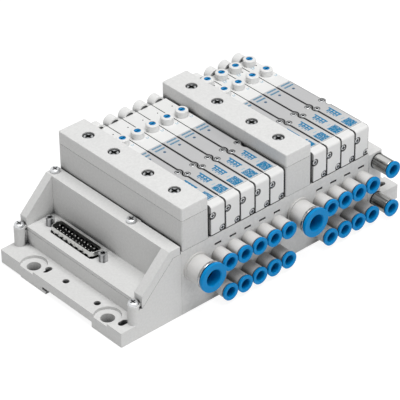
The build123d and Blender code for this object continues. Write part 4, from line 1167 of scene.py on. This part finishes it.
@dataclass
class Studio:
    """White room, soft lamps and the camera at the photograph's angle, in metres and watts."""

    camera_place: tuple[float, float, float] = (-0.75904, -0.86560, 0.81699)
    camera_back: tuple[float, float, float] = (-0.54084, -0.62039, 0.56799)
    camera_up: tuple[float, float, float] = (0.38428, 0.41844, 0.82295)
    lens_mm: float = 219.08
    sensor_mm: float = 36.0
    aim: tuple[float, float, float] = (0.0, 0.0, 0.03)
    key_place: tuple[float, float, float] = (-0.05, -0.3, 1.5)
    key_size: float = 1.0
    key_power: float = 18.2
    front_place: tuple[float, float, float] = (0.5, -1.6, 0.6)
    front_size: float = 0.8
    front_power: float = 4.0
    sky_level: float = 0.315
    floor_size: float = 6.0
    floor_drop: float = 0.0003
    floor_grain_mm: float = 2.0
    floor_glow: float = 0.9

    def background_rays(self, tree: bpy.types.NodeTree) -> bpy.types.NodeSocket:
        """Adds a factor that is 1 for what the camera sees directly, in gloss or through glass.

        Args:
            tree: World or material node tree.

        Returns:
            Socket of the factor.
        """
        path = add(tree, "ShaderNodeLightPath")
        first = add(
            tree,
            "ShaderNodeMath",
            {"operation": "MAXIMUM"},
            {0: path.outputs["Is Camera Ray"], 1: path.outputs["Is Glossy Ray"]},
        )
        both = add(
            tree,
            "ShaderNodeMath",
            {"operation": "MAXIMUM"},
            {0: first.outputs[0], 1: path.outputs["Is Transmission Ray"]},
        )
        return both.outputs[0]

    def world(self) -> None:
        """Builds the sky: white to the camera, plain grey as a light."""
        world = bpy.data.worlds.new("studio")
        world.use_nodes = True
        tree = world.node_tree
        tree.nodes.clear()
        white = linear("#FFFFFF")
        light = add(tree, "ShaderNodeBackground", None, {"Color": white, "Strength": self.sky_level})
        seen = add(tree, "ShaderNodeBackground", None, {"Color": white, "Strength": 1.0})
        mix = add(
            tree,
            "ShaderNodeMixShader",
            None,
            {0: self.background_rays(tree), 1: light.outputs[0], 2: seen.outputs[0]},
        )
        add(tree, "ShaderNodeOutputWorld", None, {"Surface": mix.outputs[0]})
        bpy.context.scene.world = world

    def floor(self) -> None:
        """Lays a white paper floor that keeps the object's shadow: grey as a light, brightened where seen."""
        paper = bpy.data.materials.new("matt_white_paper")
        paper.use_nodes = True
        tree = paper.node_tree
        tree.nodes.clear()
        place = add(tree, "ShaderNodeTexCoord")
        fibre = add(
            tree,
            "ShaderNodeTexNoise",
            None,
            {"Vector": place.outputs["Object"], "Scale": pattern_scale(self.floor_grain_mm)},
        )
        relief = {"Strength": 0.1, "Distance": 0.02 * MM, "Height": fibre.outputs[0]}
        bump = add(tree, "ShaderNodeBump", None, relief).outputs[0]
        lit = add(tree, "ShaderNodeBsdfDiffuse", None, {"Color": linear("#E6E6E6"), "Normal": bump})
        dim = add(tree, "ShaderNodeBsdfDiffuse", None, {"Color": linear("#808080"), "Normal": bump})
        glow = add(
            tree, "ShaderNodeEmission", None, {"Color": linear("#FFFFFF"), "Strength": self.floor_glow}
        )
        seen = add(tree, "ShaderNodeAddShader", None, {0: dim.outputs[0], 1: glow.outputs[0]})
        mix = add(
            tree,
            "ShaderNodeMixShader",
            None,
            {0: self.background_rays(tree), 1: lit.outputs[0], 2: seen.outputs[0]},
        )
        add(tree, "ShaderNodeOutputMaterial", None, {"Surface": mix.outputs[0]})
        shape = bmesh.new()
        bmesh.ops.create_grid(shape, x_segments=1, y_segments=1, size=self.floor_size / 2)
        bmesh.ops.translate(shape, verts=shape.verts, vec=(0, 0, -self.floor_drop))
        mesh = bpy.data.meshes.new("floor")
        shape.to_mesh(mesh)
        shape.free()
        mesh.materials.append(paper)
        new_piece("floor", mesh)

    def lamp(self, name: str, place: tuple[float, float, float], size: float, power: float) -> None:
        """Hangs a soft square lamp that faces the object.

        Args:
            name: Lamp's name.
            place: Position in metres.
            size: Side length in metres.
            power: Power in watts.
        """
        data = bpy.data.lights.new(name, "AREA")
        data.size = size
        data.energy = power
        lamp = bpy.data.objects.new(name, data)
        lamp.location = place
        lamp.rotation_euler = (Vector(self.aim) - Vector(place)).to_track_quat("-Z", "Y").to_euler()
        bpy.context.scene.collection.objects.link(lamp)

    def camera(self) -> None:
        """Places the camera as solved from the photograph's straight edges."""
        data = bpy.data.cameras.new("camera")
        data.sensor_width = self.sensor_mm
        data.lens = self.lens_mm
        back = Vector(self.camera_back).normalized()
        up = (Vector(self.camera_up) - back * Vector(self.camera_up).dot(back)).normalized()
        right = up.cross(back)
        turn = Matrix((right, up, back)).transposed().to_4x4()
        camera = bpy.data.objects.new("camera", data)
        camera.matrix_world = Matrix.Translation(Vector(self.camera_place)) @ turn
        bpy.context.scene.collection.objects.link(camera)
        bpy.context.scene.camera = camera

    def build(self) -> None:
        """Builds the whole studio."""
        self.world()
        self.floor()
        self.lamp("key_lamp", self.key_place, self.key_size, self.key_power)
        self.lamp("front_lamp", self.front_place, self.front_size, self.front_power)
        self.camera()
        bpy.context.scene.view_settings.view_transform = "Standard"


def main() -> None:
    """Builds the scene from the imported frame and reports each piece."""
    logging.basicConfig(level=logging.INFO, format="%(message)s")
    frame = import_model()
    nodes = frame["nodes"]
    book = FinishBook()
    places = Places.read(nodes)
    valves = ValvePack(book, places)
    for part in (Manifold(book), ConnectorEnd(book), SupplyColumns(book), valves):
        log.info("%s: %d nodes dressed", type(part).__name__, part.dress(nodes))
    for piece in valves.prints():
        log.info("%s: %d faces", piece.name, len(piece.data.polygons))
    Studio().build()
    log.info("studio built")


if __name__ == "__main__":
    main()
